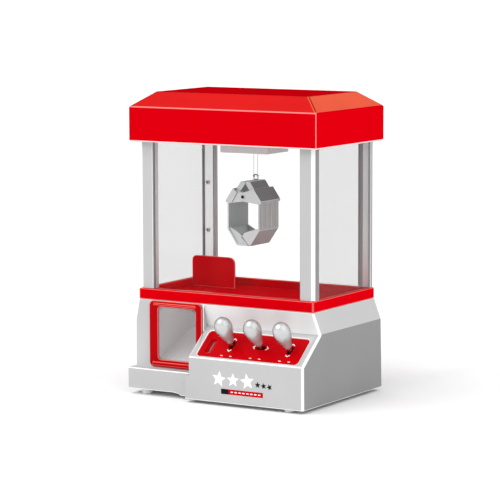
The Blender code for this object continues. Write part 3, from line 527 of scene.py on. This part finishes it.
def combine(bm, operation, *tools):
    """A Boolean of bm with each tool in turn."""
    objects = []
    for shape in (bm, *tools):
        mesh = bpy.data.meshes.new("work")
        shape.to_mesh(mesh)
        shape.free()
        made = bpy.data.objects.new("work", mesh)
        scene.collection.objects.link(made)
        objects.append(made)
    for tool in objects[1:]:
        step = objects[0].modifiers.new("step", "BOOLEAN")
        step.operation, step.object, step.solver = operation, tool, "EXACT"
    graph = bpy.context.evaluated_depsgraph_get()
    graph.update()
    result = bmesh.new()
    result.from_mesh(objects[0].evaluated_get(graph).to_mesh())
    for made in objects:
        mesh = made.data
        bpy.data.objects.remove(made)
        bpy.data.meshes.remove(mesh)
    return result


def cad(node):
    """A CAD node's own form in millimetres, with its flat faces whole again."""
    bm = bmesh.new()
    bm.from_mesh(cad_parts[node].data)
    bmesh.ops.remove_doubles(bm, verts=bm.verts, dist=WELD)
    bmesh.ops.scale(bm, vec=(1 / MM,) * 3, verts=bm.verts)
    bmesh.ops.translate(bm, vec=(0, -BASE_Y, 0), verts=bm.verts)
    bmesh.ops.dissolve_limit(
        bm, angle_limit=FLAT, verts=bm.verts, edges=bm.edges, delimit={"NORMAL"}
    )
    for face in bm.faces:
        face.material_index = 0
    return bm


def painted(bm, rule):
    """Gives each face the material number that rule(centre, normal) returns."""
    bm.normal_update()
    for face in bm.faces:
        face.material_index = rule(face.calc_center_median(), face.normal)
    return bm


def finished(
    name, bm, materials, body, replaces=(), width=0.0, rule=None, edge=None, segments=3,
    angle=26.0, repaint=None,
):
    """The finished piece: soft edges, smooth shading, its materials and what it rides on.

    Convex folds sharper than angle are rounded. rule(middle, a, b) gives an edge's share of
    width, from its middle and the normals beside it. edge is the number of the material on the
    rounded edges, and repaint(centre, normal) may give another to each of their faces.
    """
    bmesh.ops.scale(bm, vec=(MM,) * 3, verts=bm.verts)
    bmesh.ops.translate(bm, vec=(0, BASE_Y * MM, 0), verts=bm.verts)
    bm.normal_update()
    weights = bm.edges.layers.float.new("bevel_weight_edge") if width else None
    for line in bm.edges:
        line.smooth = True
        if len(line.link_faces) != 2:
            continue
        bend = math.degrees(line.calc_face_angle(0.0))
        if bend < angle:
            continue
        share = 0.0
        if width and line.is_convex:
            middle = (line.verts[0].co + line.verts[1].co) / 2 / MM - Vector((0, BASE_Y, 0))
            a, b = (face.normal for face in line.link_faces)
            share = rule(middle, a, b) if rule else 1.0
            line[weights] = share
        if share <= 0:
            line.smooth = False
    for face in bm.faces:
        face.smooth = True
    mesh = bpy.data.meshes.new(name)
    bm.to_mesh(mesh)
    bm.free()
    for material in materials:
        mesh.materials.append(material)
    made = bpy.data.objects.new(name, mesh)
    scene.collection.objects.link(made)
    if width:
        bevel = made.modifiers.new("soft_edges", "BEVEL")
        bevel.limit_method = "WEIGHT"
        bevel.offset_type = "OFFSET"
        bevel.width = width * MM
        bevel.segments = segments
        bevel.use_clamp_overlap = False
        bevel.miter_outer = "MITER_ARC"
        if edge is not None:
            bevel.material = edge
        if repaint:
            graph = bpy.context.evaluated_depsgraph_get()
            graph.update()
            soft = bpy.data.meshes.new_from_object(made.evaluated_get(graph))
            made.modifiers.clear()
            made.data = soft
            bpy.data.meshes.remove(mesh)
            for face in soft.polygons:
                if face.material_index == edge:
                    middle = face.center / MM - Vector((0, BASE_Y, 0))
                    face.material_index = repaint(middle, face.normal)
        normals = made.modifiers.new("normals", "WEIGHTED_NORMAL")
        normals.keep_sharp = True
        normals.weight = 90
    if body:
        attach(made, body)
    if replaces:
        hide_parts(*replaces)
    return made


def kept(node, material, width=0.25, segments=2):
    """A CAD node that stays, with its material and slightly rounded edges."""
    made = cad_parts[node]
    if made.material_slots:
        for place in made.material_slots:
            place.material = material
    else:
        made.data.materials.append(material)
    if width:
        weld = made.modifiers.new("weld", "WELD")
        weld.merge_threshold = WELD
        planar = made.modifiers.new("flat", "DECIMATE")
        planar.decimate_type = "DISSOLVE"
        planar.angle_limit = FLAT
        bevel = made.modifiers.new("soft_edges", "BEVEL")
        bevel.limit_method = "ANGLE"
        bevel.angle_limit = math.radians(32)
        bevel.width = width * MM
        bevel.segments = segments
        bevel.use_clamp_overlap = True
    return made


# the control box's slanted panel: x along the box, s up the slope, n out of it
BOX_FRONT = -BASE_HALF_Y
PANEL_LOW = Vector((0.0, BOX_FRONT, 54.0))
PANEL_HIGH = Vector((0.0, -53.2, 85.5))
SLOPE = (PANEL_HIGH - PANEL_LOW).normalized()
NORMAL = Vector((1, 0, 0)).cross(SLOPE)
PANEL_FACE = -0.7  # n of the red plate's face, which lies a little below the box's
STICKS = {"left": 18.0, "middle": 56.6, "right": 95.4}  # x of each stick
STICK_S = 24.3


def on_panel(x, s):
    """The place at x and s on the slanted panel."""
    return PANEL_LOW + Vector((x, 0, 0)) + SLOPE * s


def to_panel(bm):
    """Moves a shape made in (x, s, n) on to the panel."""
    turn = Matrix((Vector((1, 0, 0)), SLOPE, NORMAL)).transposed().to_4x4()
    bmesh.ops.transform(bm, matrix=Matrix.Translation(PANEL_LOW) @ turn, verts=bm.verts)
    return bm


# ---------------------------------------------------------------- base


def base():
    """The silver housing, with painted highlight lines along its edges, and what is under it."""
    thin, rim, beside_door = 0.38, 0.15, 0.6  # shares of the widest edge
    silvers = [SILVER, SILVER_EDGE_HIGHLIGHT, SILVER_FLARE_LIT, SILVER_WALL_LIT]
    plain, light, flare_lit, above_panel_lit = range(len(silvers))

    def edges(middle, a, b):
        x, y, z = middle
        if (abs(a.x) > 0.9 and abs(b.x) > 0.9) or (a.y > 0.9 and b.y > 0.9):
            return 0.0  # a fold within a side or within the back
        if z < 8:  # round the bottom, only the outer edge
            wall = a if abs(a.z) < abs(b.z) else b
            return thin if wall.x * x + wall.y * y > 0 else 0.0
        upright = abs(a.x) + abs(b.x) > 0.8
        if upright and x > 118 and y < -48:  # the control box's right corner
            return 1.0
        if upright and -36 < x < -26 and y < -52:  # its left end, beside the prize door
            return beside_door
        if z > 108:
            return rim
        if a.dot(NORMAL) > 0.9 or b.dot(NORMAL) > 0.9:
            return thin
        outside = max(abs(x) / BASE_HALF_X, y / BASE_HALF_Y if y > 0 else 0) > 0.9
        return thin if outside or y < -60 else 0.0

    def paint(centre, normal):
        if 0.05 < abs(normal.x) < 0.99 and abs(normal.z) < 0.5 and abs(normal.y) < 0.1:
            # the band above the knee is painted lighter as light
            return flare_lit if centre.z > 86 else plain  # the leaning band of each side
        # the wall above the panel is painted lighter as light
        wall = -0.99 < normal.y < -0.9 and centre.z > 84 and centre.x > 0 and -62 < centre.y < -50
        return above_panel_lit if wall else plain

    def lines(centre, normal):
        # the rounded edges are painted highlights, except round the notch beside the prize door
        notch = -41 < centre.x < -24 and centre.z < 45 and centre.y < -52
        return plain if notch else light

    finished(
        "base_shell", painted(cad("base_housing"), paint), silvers, "cabinet", ["base_housing"],
        width=2.4, rule=edges, edge=light, angle=6.0, repaint=lines,
    )
    screw_holes = [
        turned([(-1, 3.2), (1.2, 3.2), (1.2, 0)], (x, y, 7.0), (0, 0, 1), 20)
        for x in (-112, 112) for y in (-70, 82)
    ]
    finished(
        "bottom_cover", combine(cad("bottom_plate"), "DIFFERENCE", *screw_holes), [LIGHT_GREY],
        "cabinet", ["bottom_plate"], width=0.4, segments=2,
    )
    grips = [block((20, 50), (34 + 4 * i, 36 + 4 * i), (6.0, 7.6)) for i in range(4)]
    finished(
        "battery_cover", combine(cad("battery_door"), "DIFFERENCE", *grips), [LIGHT_GREY],
        "cabinet", ["battery_door"], width=0.3, segments=2,
    )
    profile = flowing([(0.0, 0.0), (0.0, 4.4), (0.5, 5.8), (1.6, 6.7), (3.6, 7.0)], 4)
    profile = profile[1:] + [(6.7, 7.0)]
    for corner in ("front_left", "front_right", "rear_left", "rear_right"):
        low, high = box_of(f"foot_{corner}")
        middle = (low + high) / 2
        shape = turned(profile, (middle.x, middle.y, 0), (0, 0, 1), 32)
        finished(f"{corner}_foot", shape, [FOOT], "cabinet", [f"foot_{corner}"])


def star(x, z, size, y, turn=0.0):
    """A five-pointed star printed on the plane at y."""
    inner = size * 0.44
    points = []
    for i in range(10):
        reach = size if i % 2 == 0 else inner
        a = math.radians(90 + 36 * i) + turn
        points.append((x + reach * math.cos(a), z + reach * math.sin(a)))
    return prism(points, "Y", y - 0.12, y + PRINT_SUNK)


def front_print():
    """A plain printed motif on the control box: a row of stars over a two-colour bar."""
    y = BOX_FRONT
    sizes = (9.6, 8.4, 9.6)
    stars = [star(12 + 19 * i, 31.5, size, y, 0.14 * (i - 1)) for i, size in enumerate(sizes)]
    small = [star(64 + 7.8 * i, 29 - 0.6 * i, 3.8, y - 0.02, 0.2 * i) for i in range(3)]
    bar_z, dash_z, step = (14.6, 20.6), (17.0, 18.2), 5.2
    bar = prism(rounded((24, 71), bar_z, 0.8), "Y", y - 0.1, y + PRINT_SUNK)
    tab = prism(rounded((15, 25), bar_z, 0.8), "Y", y - 0.14, y + PRINT_SUNK)
    dashes = [block((28 + step * i, 31.2 + step * i), (y - 0.16, y), dash_z) for i in range(8)]
    for name, shape, ink, slot in (
        ("stars", joined(*stars), WHITE, "silver_plastic"),
        ("small_stars", joined(*small), BLACK_PRINT, "black_plastic"),
        ("bar", bar, RED_PANEL, "red_plastic"),
        ("tab", tab, BLACK_PRINT, "black_plastic"),
        ("dashes", joined(*dashes), WHITE, "silver_plastic"),
    ):
        finished(f"front_print_{name}", shape, [ink], "cabinet")


def prize_door():
    """The red frame with a ridge along its top, the clear flap and the chute behind it."""
    ridge = [(-64.5, 106.0), (-63.2, 105.0), (-63.2, 108.6), (-64.2, 108.2)]
    bezel = combine(cad("prize_bezel"), "UNION", prism(ridge, "X", -96.5, -38.0))

    def edges(middle, a, b):
        return 1.0 if middle.y < -62.5 else 0.35  # widest round the front face

    def lines(centre, normal):
        # the rounded edges are painted highlights, brighter along the top ridge and the bottom
        return 2 if centre.z > 104.5 or centre.z < 40 else EDGE

    finished(
        "prize_frame", bezel, [RED_DEEP, RED_EDGE_HIGHLIGHT, RED_RIDGE_HIGHLIGHT], "cabinet", ["prize_bezel"],
        width=0.6, rule=edges, edge=EDGE, segments=2, repaint=lines,
    )
    hinge_z = 101.4
    pane = prism(rounded((-89.8, -38.6), (42.1, hinge_z), 4.5, 8), "Y", -62.9, -60.9)
    barrel = turned([(0, 1.6), (44.2, 1.6)], (-86.8, -61.9, hinge_z), (1, 0, 0), 16)

    def pane_edges(middle, a, b):
        return 0.0 if middle.z > hinge_z - 1.9 else 1.0  # sharp where the barrel joins the pane

    finished(
        "prize_pane", combine(pane, "UNION", barrel), [CLEAR_FLAP, CLEAR_EDGE], "prize_flap",
        ["prize_flap"], width=0.5, rule=pane_edges, edge=EDGE, segments=2,
    )
    kept("prize_chute", CHUTE_GREY, 0.4)


# ---------------------------------------------------------------- controls


def chevron(x, s, dx, ds):
    """A small arrow head on the panel, pointing along (dx, ds)."""
    points = [(1.9, 0.0), (-0.5, 2.7), (-1.7, 2.7), (0.3, 0.0), (-1.7, -2.7), (-0.5, -2.7)]
    outline = [(x + a * dx - b * ds, s + a * ds + b * dx) for a, b in points]
    return to_panel(prism(outline, "Z", PANEL_FACE - 0.3, PANEL_FACE + 0.15))


def controls():
    """The red plate with its printed marks, painted highlight dashes and painted light and shade on
    its edges, the three sticks, and what lies under the plate.
    """
    longer, shorter, rim, reach = 6.0, 3.3, 0.6, 8.6  # half a slot, its rim, and its arrow heads
    marks, rims = [], []
    for side, x in STICKS.items():
        across = side == "middle"
        a, b = (longer, shorter) if across else (shorter, longer)
        outside = (x - a - rim, x + a + rim), (STICK_S - b - rim, STICK_S + b + rim)
        ring = to_panel(prism(rounded(*outside, 3.9), "Z", PANEL_FACE - 0.6, PANEL_FACE - 0.02))
        inside = (x - a + 0.1, x + a - 0.1), (STICK_S - b + 0.1, STICK_S + b - 0.1)
        hole = to_panel(prism(rounded(*inside, 3.0), "Z", PANEL_FACE - 3, PANEL_FACE + 3))
        rims.append(combine(ring, "DIFFERENCE", hole))
        for sign in (-1, 1):
            dx, ds = (sign, 0) if across else (0, sign)
            marks.append(chevron(x + reach * dx, STICK_S + reach * ds, dx, ds))
            # a small white dash each side of the stick: a painted highlight
            highlight_dash = rounded((x + 6 * sign - 1.6, x + 6 * sign + 1.6), (6.6, 7.5), 0.4, 3)
            marks.append(to_panel(prism(highlight_dash, "Z", PANEL_FACE - 0.3, PANEL_FACE + 0.12)))

    def edges(middle, a, b):
        return 1.0 if a.dot(NORMAL) > 0.9 or b.dot(NORMAL) > 0.9 else 0.4

    def lines(centre, normal):
        # painted shade on edges that face down the slope and to the right, painted highlights on
        # the others
        return 2 if normal.dot(SLOPE) < -0.15 or normal.x > 0.15 else EDGE

    finished(
        "control_plate", cad("control_panel"), [RED_PANEL, RED_RIDGE_HIGHLIGHT, RED_EDGE_SHADE], "cabinet",
        ["control_panel"], width=0.4, rule=edges, edge=EDGE, segments=2,
        repaint=lines,
    )
    finished("stick_marks_and_painted_highlights", joined(*marks), [WHITE], "cabinet")
    finished(
        "slot_rims", joined(*rims), [RED_DEEP], "cabinet", width=0.2, segments=2
    )
    pear = flowing(
        [(5.4, 4.2), (7, 4.9), (9, 5.5), (13.5, 6.8), (18, 8.2), (22, 9.3), (26, 10.1),
         (29, 10.4), (32.5, 10.15), (36, 9.0), (39, 6.9), (41, 4.3), (42, 1.8), (42.2, 0)],
        3,
    )
    for side, x in STICKS.items():
        knob = turned(pear, on_panel(x, STICK_S), NORMAL, 48)
        finished(
            f"{side}_stick_knob", knob, [KNOB], f"{side}_joystick", [f"{side}_knob"]
        )
        kept(f"{side}_stem", STEEL, 0.0)
    kept("joystick_frame", BLACK, 0.4)
    kept("coin_chute", CHUTE_GREY)
    kept("coin_lever", STEEL)
    kept("circuit_board", BOARD, 0.0)
    kept("power_switch", BLACK, 0.4)
    kept("battery_box", BLACK, 0.5)
    kept("speaker", BLACK, 0.0)


# ---------------------------------------------------------------- cabinet


def tray():
    """The red tray and the wall round its hole."""

    def edges(middle, a, b):
        return 1.0 if middle.z > 114 or abs(middle.x) > 113 or middle.y < -60 else 0.5

    def lines(centre, normal):
        # the rounded edges are painted highlights, brighter along the top of the rim
        corner = abs(centre.x) > 117 and centre.y < -60
        return EDGE if centre.z < 112.5 or (corner and centre.z < 123) else 2

    finished(
        "tray", cad("play_tray"), [RED, RED_EDGE_HIGHLIGHT, RED_RIDGE_HIGHLIGHT], "cabinet", ["play_tray"],
        width=0.7, rule=edges, edge=EDGE, segments=2, repaint=lines,
    )
    finished(
        "tray_partition", cad("chute_partition"), [RED, RED_EDGE_HIGHLIGHT], "cabinet", ["chute_partition"],
        width=0.5, edge=EDGE, segments=2,
    )


def posts():
    """The four posts, each with a painted highlight on the chamfer at its outer corner."""
    # each post has its own copy of the silver, with its own painted light and shade
    silvers = {
        ("front", "left"): SILVER_POST_LEFT_LIT,
        ("front", "right"): SILVER_POST,
        ("rear", "left"): SILVER_POST_REAR_LIT,
        ("rear", "right"): SILVER_POST_REAR_RIGHT_LIT,
    }
    for (row, side), silver in silvers.items():
        node = f"{row}_{side}_post"
        outward = Vector((-1 if side == "left" else 1, -1 if row == "front" else 1, 0)).normalized()

        # the outer chamfer gets the painted highlight
        def paint(centre, normal, outward=outward):
            return EDGE if normal.dot(outward) > 0.97 else 0

        finished(
            f"{row}_{side}_column", painted(cad(node), paint), [silver, SILVER_EDGE_HIGHLIGHT], "cabinet",
            [node], width=0.5, edge=EDGE, segments=2,
        )


def windows():
    """The fixed panes, each with a strip of gasket at its two upright edges."""
    thick, proud = 1.0, 0.15  # the gasket's width, and how far it stands out of the pane
    kinds = {
        # the dark gasket of the front and left panes is also painted shadow of the gap by the posts
        "front_window": ("X", CLEAR, GASKET_AND_SHADOW),
        "left_window": ("Y", CLEAR_SIDE, GASKET_AND_SHADOW),
        "right_window": ("Y", CLEAR_SIDE, GREY_GASKET_AND_SHADE),
    }
    for node, (across, glass, rubber) in kinds.items():
        low, high = box_of(node)
        pane = block((low.x, high.x), (low.y, high.y), (low.z, high.z))
        finished(
            f"{node}_pane", pane, [glass, CLEAR_EDGE], "cabinet", [node],
            width=0.3, edge=EDGE, segments=2,
        )
        strips = []
        for end in (low, high):
            if across == "X":
                x = sorted((end.x, end.x - math.copysign(thick, end.x)))
                y = (low.y - proud, high.y + proud)
            else:
                x = (low.x - proud, high.x + proud)
                y = sorted((end.y, end.y + (thick if end is low else -thick)))
            strips.append(block(x, y, (low.z, high.z)))
        finished(f"{node}_gasket", joined(*strips), [rubber], "cabinet")


def rear_door():
    """The clear door at the back, its gasket, and a strip of painted shade on the front of the post
    that it closes against.
    """
    finished(
        "rear_door_pane", cad("rear_door"), [CLEAR_REAR, CLEAR_EDGE], "rear_door", ["rear_door"],
        width=0.3, edge=EDGE, segments=2,
    )
    low, high = box_of("rear_door")
    y, z = (low.y - 0.2, high.y + 0.2), (low.z + 0.2, high.z - 0.2)
    rails = ((low.x - 0.05, low.x + 2.8), (high.x - 1.0, high.x + 0.05))
    strips = [block(x, y, z) for x in rails]
    finished("rear_door_gasket", joined(*strips), [GREY_GASKET_AND_SHADE], "rear_door")
    # a dark strip on the front face of the rear right post: painted shade
    low, high = box_of("rear_right_post")
    stop = block(
        (low.x + 0.1, low.x + 4.6), (low.y - 0.25, low.y + 0.1), (low.z + 0.3, high.z - 0.3)
    )
    finished(
        "post_strip_painted_shade", stop, [GREY_GASKET_AND_SHADE], "cabinet", width=0.1,
        segments=2,
    )


def post_screws():
    """Domed screw heads with a cross recess 0.9 mm deep, painted dark inside as shade."""
    deep, arm, half_arm = 0.9, 1.8, 0.5
    dome = flowing([(0, 2.9), (0.7, 2.75), (1.2, 2.0), (1.5, 0.9)], 3) + [(1.5, 0)]
    for name in ("upper", "lower"):
        node = f"{name}_post_screw"
        low, high = box_of(node)
        middle = (low + high) / 2
        head = turned(dome, (middle.x, high.y, middle.z), (0, -1, 0), 28)
        cross = [
            block(
                (middle.x - a, middle.x + a), (low.y - 1, low.y + deep),
                (middle.z - b, middle.z + b),
            )
            for a, b in ((arm, half_arm), (half_arm, arm))
        ]
        head = combine(head, "DIFFERENCE", *cross)

        # faces inside the cross: painted shade
        def recess(centre, normal, middle=middle, low=low):
            radial = Vector((centre.x - middle.x, centre.z - middle.z)).length
            cut = abs(normal.y) < 0.2 or centre.y > low.y + 0.85
            return 1 if radial < 1.75 and cut and centre.y < low.y + 1.0 else 0

        finished(
            f"{name}_post_screw_head", painted(head, recess), [SCREW, SCREW_RECESS_SHADE], "cabinet",
            [node],
        )


# ---------------------------------------------------------------- roof and gantry


def roof():
    """The red roof: upright sides, four slopes and a flat top in painted light and shade, and the
    gantry under it.
    """
    reds = [RED, RED_EDGE_HIGHLIGHT, RED_TOP_SHADED, RED_EDGE_SHADE, RED_SIDE_SLOPE_LIT, RED_HEM_HIGHLIGHT, RED_SLOPE]
    sides, light, top, edge_shade, side_slope_lit, hem_highlight, slope = range(len(reds))
    top_z, hips_z, eaves_z, hem_z = 351, 341, 335, 300

    def paint(centre, normal):
        # the flat top is painted darker as shade, the side slopes lighter as light
        if normal.z > 0.99 and centre.z > 350:
            return top
        if normal.z < 0.3:
            return sides
        if abs(normal.x) > 0.3:
            return side_slope_lit
        return slope if abs(normal.y) > 0.3 else sides

    def edges(middle, a, b):
        if middle.z > top_z:
            return 0.5
        if middle.z > hips_z:
            return 1.9
        return 1.7 if middle.z < hem_z else 1.0

    def lines(centre, normal):
        # the hips and left-hand edges are painted shade lines, the lower hem and the other edges
        # painted highlights
        if centre.z > 339.2:
            front = normal.y < 0 and abs(normal.y) > abs(normal.x) and centre.z < top_z
            return side_slope_lit if front and centre.x > 0 else edge_shade
        if centre.z < hem_z - 0.5:
            return hem_highlight
        if centre.z > eaves_z and abs(normal.x) > 0.5 and abs(normal.y) < 0.2:
            return sides
        return edge_shade if centre.x < 0 and abs(normal.x) > 0.2 else light

    finished(
        "roof", painted(cad("roof_shell"), paint), reds, "cabinet", ["roof_shell"],
        width=0.9, rule=edges, edge=light, segments=2, repaint=lines,
    )
    finished(
        "roof_ring", cad("roof_base"), [SILVER, SILVER_EDGE_HIGHLIGHT], "cabinet", ["roof_base"],
        width=0.5, edge=EDGE, segments=2,
    )
    for side in ("left", "right"):
        kept(f"{side}_rail", STEEL_Y, 0.0)
        kept(f"bridge_end_{side}", LIGHT_GREY, 0.5)
    kept("bridge_rod_front", STEEL_X, 0.0)
    kept("bridge_rod_rear", STEEL_X, 0.0)
    for name in ("bridge_motor", "trolley_motor", "winch_motor"):
        kept(name, STEEL_X, 0.3)
    kept("bridge_wheel", TYRE, 0.0)
    kept("trolley_wheel", TYRE, 0.0)
    kept("winch_drum", GEAR_GREY, 0.0)
    kept("winch_pinion", GEAR_GREY, 0.0)
    finished(
        "trolley_box", cad("trolley_housing"), [LIGHT_GREY, SILVER_EDGE_HIGHLIGHT], "trolley",
        ["trolley_housing"], width=0.6, edge=EDGE, segments=2,
    )


# ---------------------------------------------------------------- claw


CLAW = Vector((-5.0, 11.5, 232.9))  # the middle of the pin that the scoops turn about
CLAW_HALF = 22.3  # half the claw's depth
CLAW_FRONT = CLAW.y - CLAW_HALF
STRINGS = {"left": -4.2, "right": 1.2}  # x of each hoist string
STRING_Y = 12.3
STRING_TOP, STRING_END = 300.0, 257.2


def scoop(side, sign):
    """A scoop with four ribs on its outer wall; the seam between the two is on the left one, a
    strip in painted shadow.
    """
    greys = [CLAW_GREY, CLAW_PALE_AND_HIGHLIGHT, CLAW_DARK_AND_SHADE, CLAW_UNDER_SHADE, CLAW_SHADOW]
    body, light, roof_plate, under, dark = range(len(greys))
    x = sorted((CLAW.x + sign * 21.4, CLAW.x + sign * 22.7))
    ribs = []
    for i in range(4):
        y = CLAW.y + (i - 1.5) * CLAW_HALF * 0.47
        ribs.append(block(x, (y - 1.2, y + 1.2), (CLAW.z - 36.5, CLAW.z - 7.0)))
    shape = combine(cad(f"{side}_scoop"), "UNION", *ribs)
    if side == "left":
        seam = [(4.6, -55.4), (6.3, -56.5), (-2.8, -46.9), (-4.2, -47.4)]
        y = CLAW_FRONT + 2.3
        seam = prism([(CLAW.x + a, CLAW.z + b) for a, b in seam], "Y", y - 0.1, y + 0.3)
        shape = combine(shape, "UNION", seam)

    def paint(centre, normal):
        # lower slopes that face down: painted shade
        if abs(normal.y) < 0.1 and normal.x * sign > 0.5 and normal.z < -0.3:
            return under
        # the seam strip on the left scoop's front: painted shadow
        low_front = centre.y < CLAW_FRONT + 2.25 and centre.z < CLAW.z - 46
        if side == "left" and low_front and normal.y < -0.9 and centre.x > CLAW.x - 5:
            return dark
        slope = 0.35 < normal.z < 0.95 and abs(normal.y) < 0.1
        return roof_plate if slope and centre.z > CLAW.z - 8 else body

    def edges(middle, a, b):
        bore = (middle.xz - CLAW.xz).length < 2.6
        inside = abs(middle.y - CLAW.y) < CLAW_HALF - 0.5
        meeting = inside and middle.z < CLAW.z - 43 and abs(middle.x - CLAW.x) < 14
        return 0.0 if bore or meeting else 1.0

    def lines(centre, normal):
        # the rounded edges are painted highlights, and painted shadow where they border the seam
        along = centre.x - CLAW.x + 0.95 * (centre.z - CLAW.z + 47)
        low_front = centre.y < CLAW_FRONT + 3 and centre.z < CLAW.z - 46.5
        at_seam = low_front and -4.5 < along < 1.2 and centre.x - CLAW.x < 7.5
        return dark if at_seam else light

    finished(
        f"{side}_claw_scoop", painted(shape, paint), greys, f"{side}_scoop", [f"{side}_scoop"],
        width=0.35, rule=edges, edge=light, segments=2, repaint=lines,
    )


def claw_cap():
    """The fixed cap over the scoops, split at the front."""
    x, z = (CLAW.x - 0.5, CLAW.x + 0.5), (CLAW.z + 13.5, CLAW.z + 20)
    split = block(x, (-20, CLAW_FRONT + 9.5), z)
    head = combine(cad("claw_head"), "DIFFERENCE", split)

    def paint(centre, normal):
        # the split's recess and back face get the dark grey as painted shade; the slopes are the
        # roof plates' own dark grey
        recess = centre.y < CLAW_FRONT + 9.6 and abs(centre.x - CLAW.x) < 7 and normal.y > -0.5
        deep = normal.y < -0.9 and centre.y > CLAW_FRONT + 8
        slope = 0.3 < normal.z < 0.98 and abs(normal.y) < 0.1
        return 2 if deep or recess or slope else 0

    finished(
        "claw_cap", painted(head, paint), [CLAW_GREY, CLAW_PALE_AND_HIGHLIGHT, CLAW_DARK_AND_SHADE], "claw", ["claw_head"],
        width=0.35, edge=EDGE, segments=2,
    )


def claw_rivet():
    """The hollow-ended pin through the cap and both scoops."""
    low, high = box_of("claw_pin")
    long = high.y - low.y
    pin, head, hollow, thick, deep = 1.5, 2.6, 2.05, 1.0, 0.8
    rivet = turned(
        [(deep, 0), (deep, hollow), (0, hollow), (0, head), (thick, head), (thick, pin),
         (long - thick, pin), (long - thick, head), (long, head), (long, hollow),
         (long - deep, hollow), (long - deep, 0)],
        (CLAW.x, low.y, CLAW.z), (0, 1, 0), 28,
    )

    def paint(centre, normal):
        # the hollow ends are painted dark as shadow
        inner = (centre.xz - CLAW.xz).length < 2.1
        return 1 if inner and abs(centre.y - CLAW.y) > CLAW_HALF - 2 else 0

    finished(
        "claw_rivet", painted(rivet, paint), [CLAW_PALE_AND_HIGHLIGHT, CLAW_SHADOW], "claw", ["claw_pin"],
        width=0.15, segments=2,
    )


def hoist_cords():
    """Two cords from the winch, each looped twice round the claw's ring."""
    low, high = box_of("claw_ring")
    ring, reach = (low + high) / 2, (high.x - low.x) / 2 - 0.8
    turn, apart = 1.22, 0.45  # a loop's radius, and how far it lies from the cord's middle
    loops = []
    for x in STRINGS.values():
        lean = math.asin((x - ring.x) / reach)
        out = Vector((math.sin(lean), 0, math.cos(lean)))
        along = Vector((math.cos(lean), 0, -math.sin(lean)))
        for shift in (-apart, apart):
            centre = ring + along * shift
            angles = [math.tau * i / 20 for i in range(20)]
            path = [
                centre + out * (reach + turn * math.cos(a)) + Vector((0, turn * math.sin(a), 0))
                for a in angles
            ]
            loops.append(tube(path, 0.42, 8, closed=True))
    finished("hoist_cord_loops", joined(*loops), [CORD], "claw")
    steps, waver = 60, 0.1
    for side, x in STRINGS.items():
        path = [
            (
                x + waver * math.sin(i * 0.9), STRING_Y + waver * math.cos(i * 0.9),
                STRING_TOP + (STRING_END - STRING_TOP) * i / steps,
            )
            for i in range(steps + 1)
        ]
        line = finished(
            f"hoist_cord_{side}", tube(path, 0.45), [CORD], None, [f"hoist_string_{side}"],
        )
        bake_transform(line)


def claw():
    """The claw, and the ring and cords that it hangs from."""
    claw_cap()
    scoop("left", -1)
    scoop("right", 1)
    claw_rivet()
    kept("claw_ring", STEEL, 0.0)
    hoist_cords()


base()
front_print()
prize_door()
controls()
tray()
posts()
windows()
rear_door()
post_screws()
roof()
claw()


# ---------------------------------------------------------------- studio


def ground(name, size, colour, rough):
    """A square floor in one pale colour."""
    sheet = Sheet(name)
    tone = sheet.mix(sheet.noise(3.0), tinted(colour, 0.995), colour)
    sheet.link(tone, sheet.shader.inputs["Base Color"])
    sheet.shader.inputs["Roughness"].default_value = rough
    sheet.shader.inputs["Specular IOR Level"].default_value = 0.1
    mesh = bpy.data.meshes.new(name)
    half = size / 2
    corners = [(-half, -half, 0), (half, -half, 0), (half, half, 0), (-half, half, 0)]
    mesh.from_pydata(corners, [], [(0, 1, 2, 3)])
    mesh.materials.append(sheet.material)
    made = bpy.data.objects.new(name, mesh)
    scene.collection.objects.link(made)
    return made


def sun(name, towards, strength, spread):
    """A sun that shines from the direction given, as soft as its spread in degrees."""
    light = bpy.data.lights.new(name, "SUN")
    light.energy = strength
    light.angle = math.radians(spread)
    made = bpy.data.objects.new(name, light)
    made.rotation_euler = Vector(towards).to_track_quat("Z", "Y").to_euler()
    scene.collection.objects.link(made)


def studio():
    """A white floor and sky, soft light from the left and right, and a small bright highlight."""
    floor = ground("floor", 120.0, (0.95, 0.95, 0.95), 0.8)
    world = bpy.data.worlds.new("studio")
    scene.world = world
    world.use_nodes = True
    sky = world.node_tree.nodes["Background"]
    sky.inputs["Color"].default_value = (1.0, 1.0, 1.0, 1.0)
    sky.inputs["Strength"].default_value = 0.78
    sun("key", (-0.35, -0.55, 0.76), 1.27, 60)
    sun("fill", (0.75, -0.15, 0.5), 0.6, 70)
    sun("sparkle", (-0.12, -0.82, 0.62), 0.24, 8)


studio()
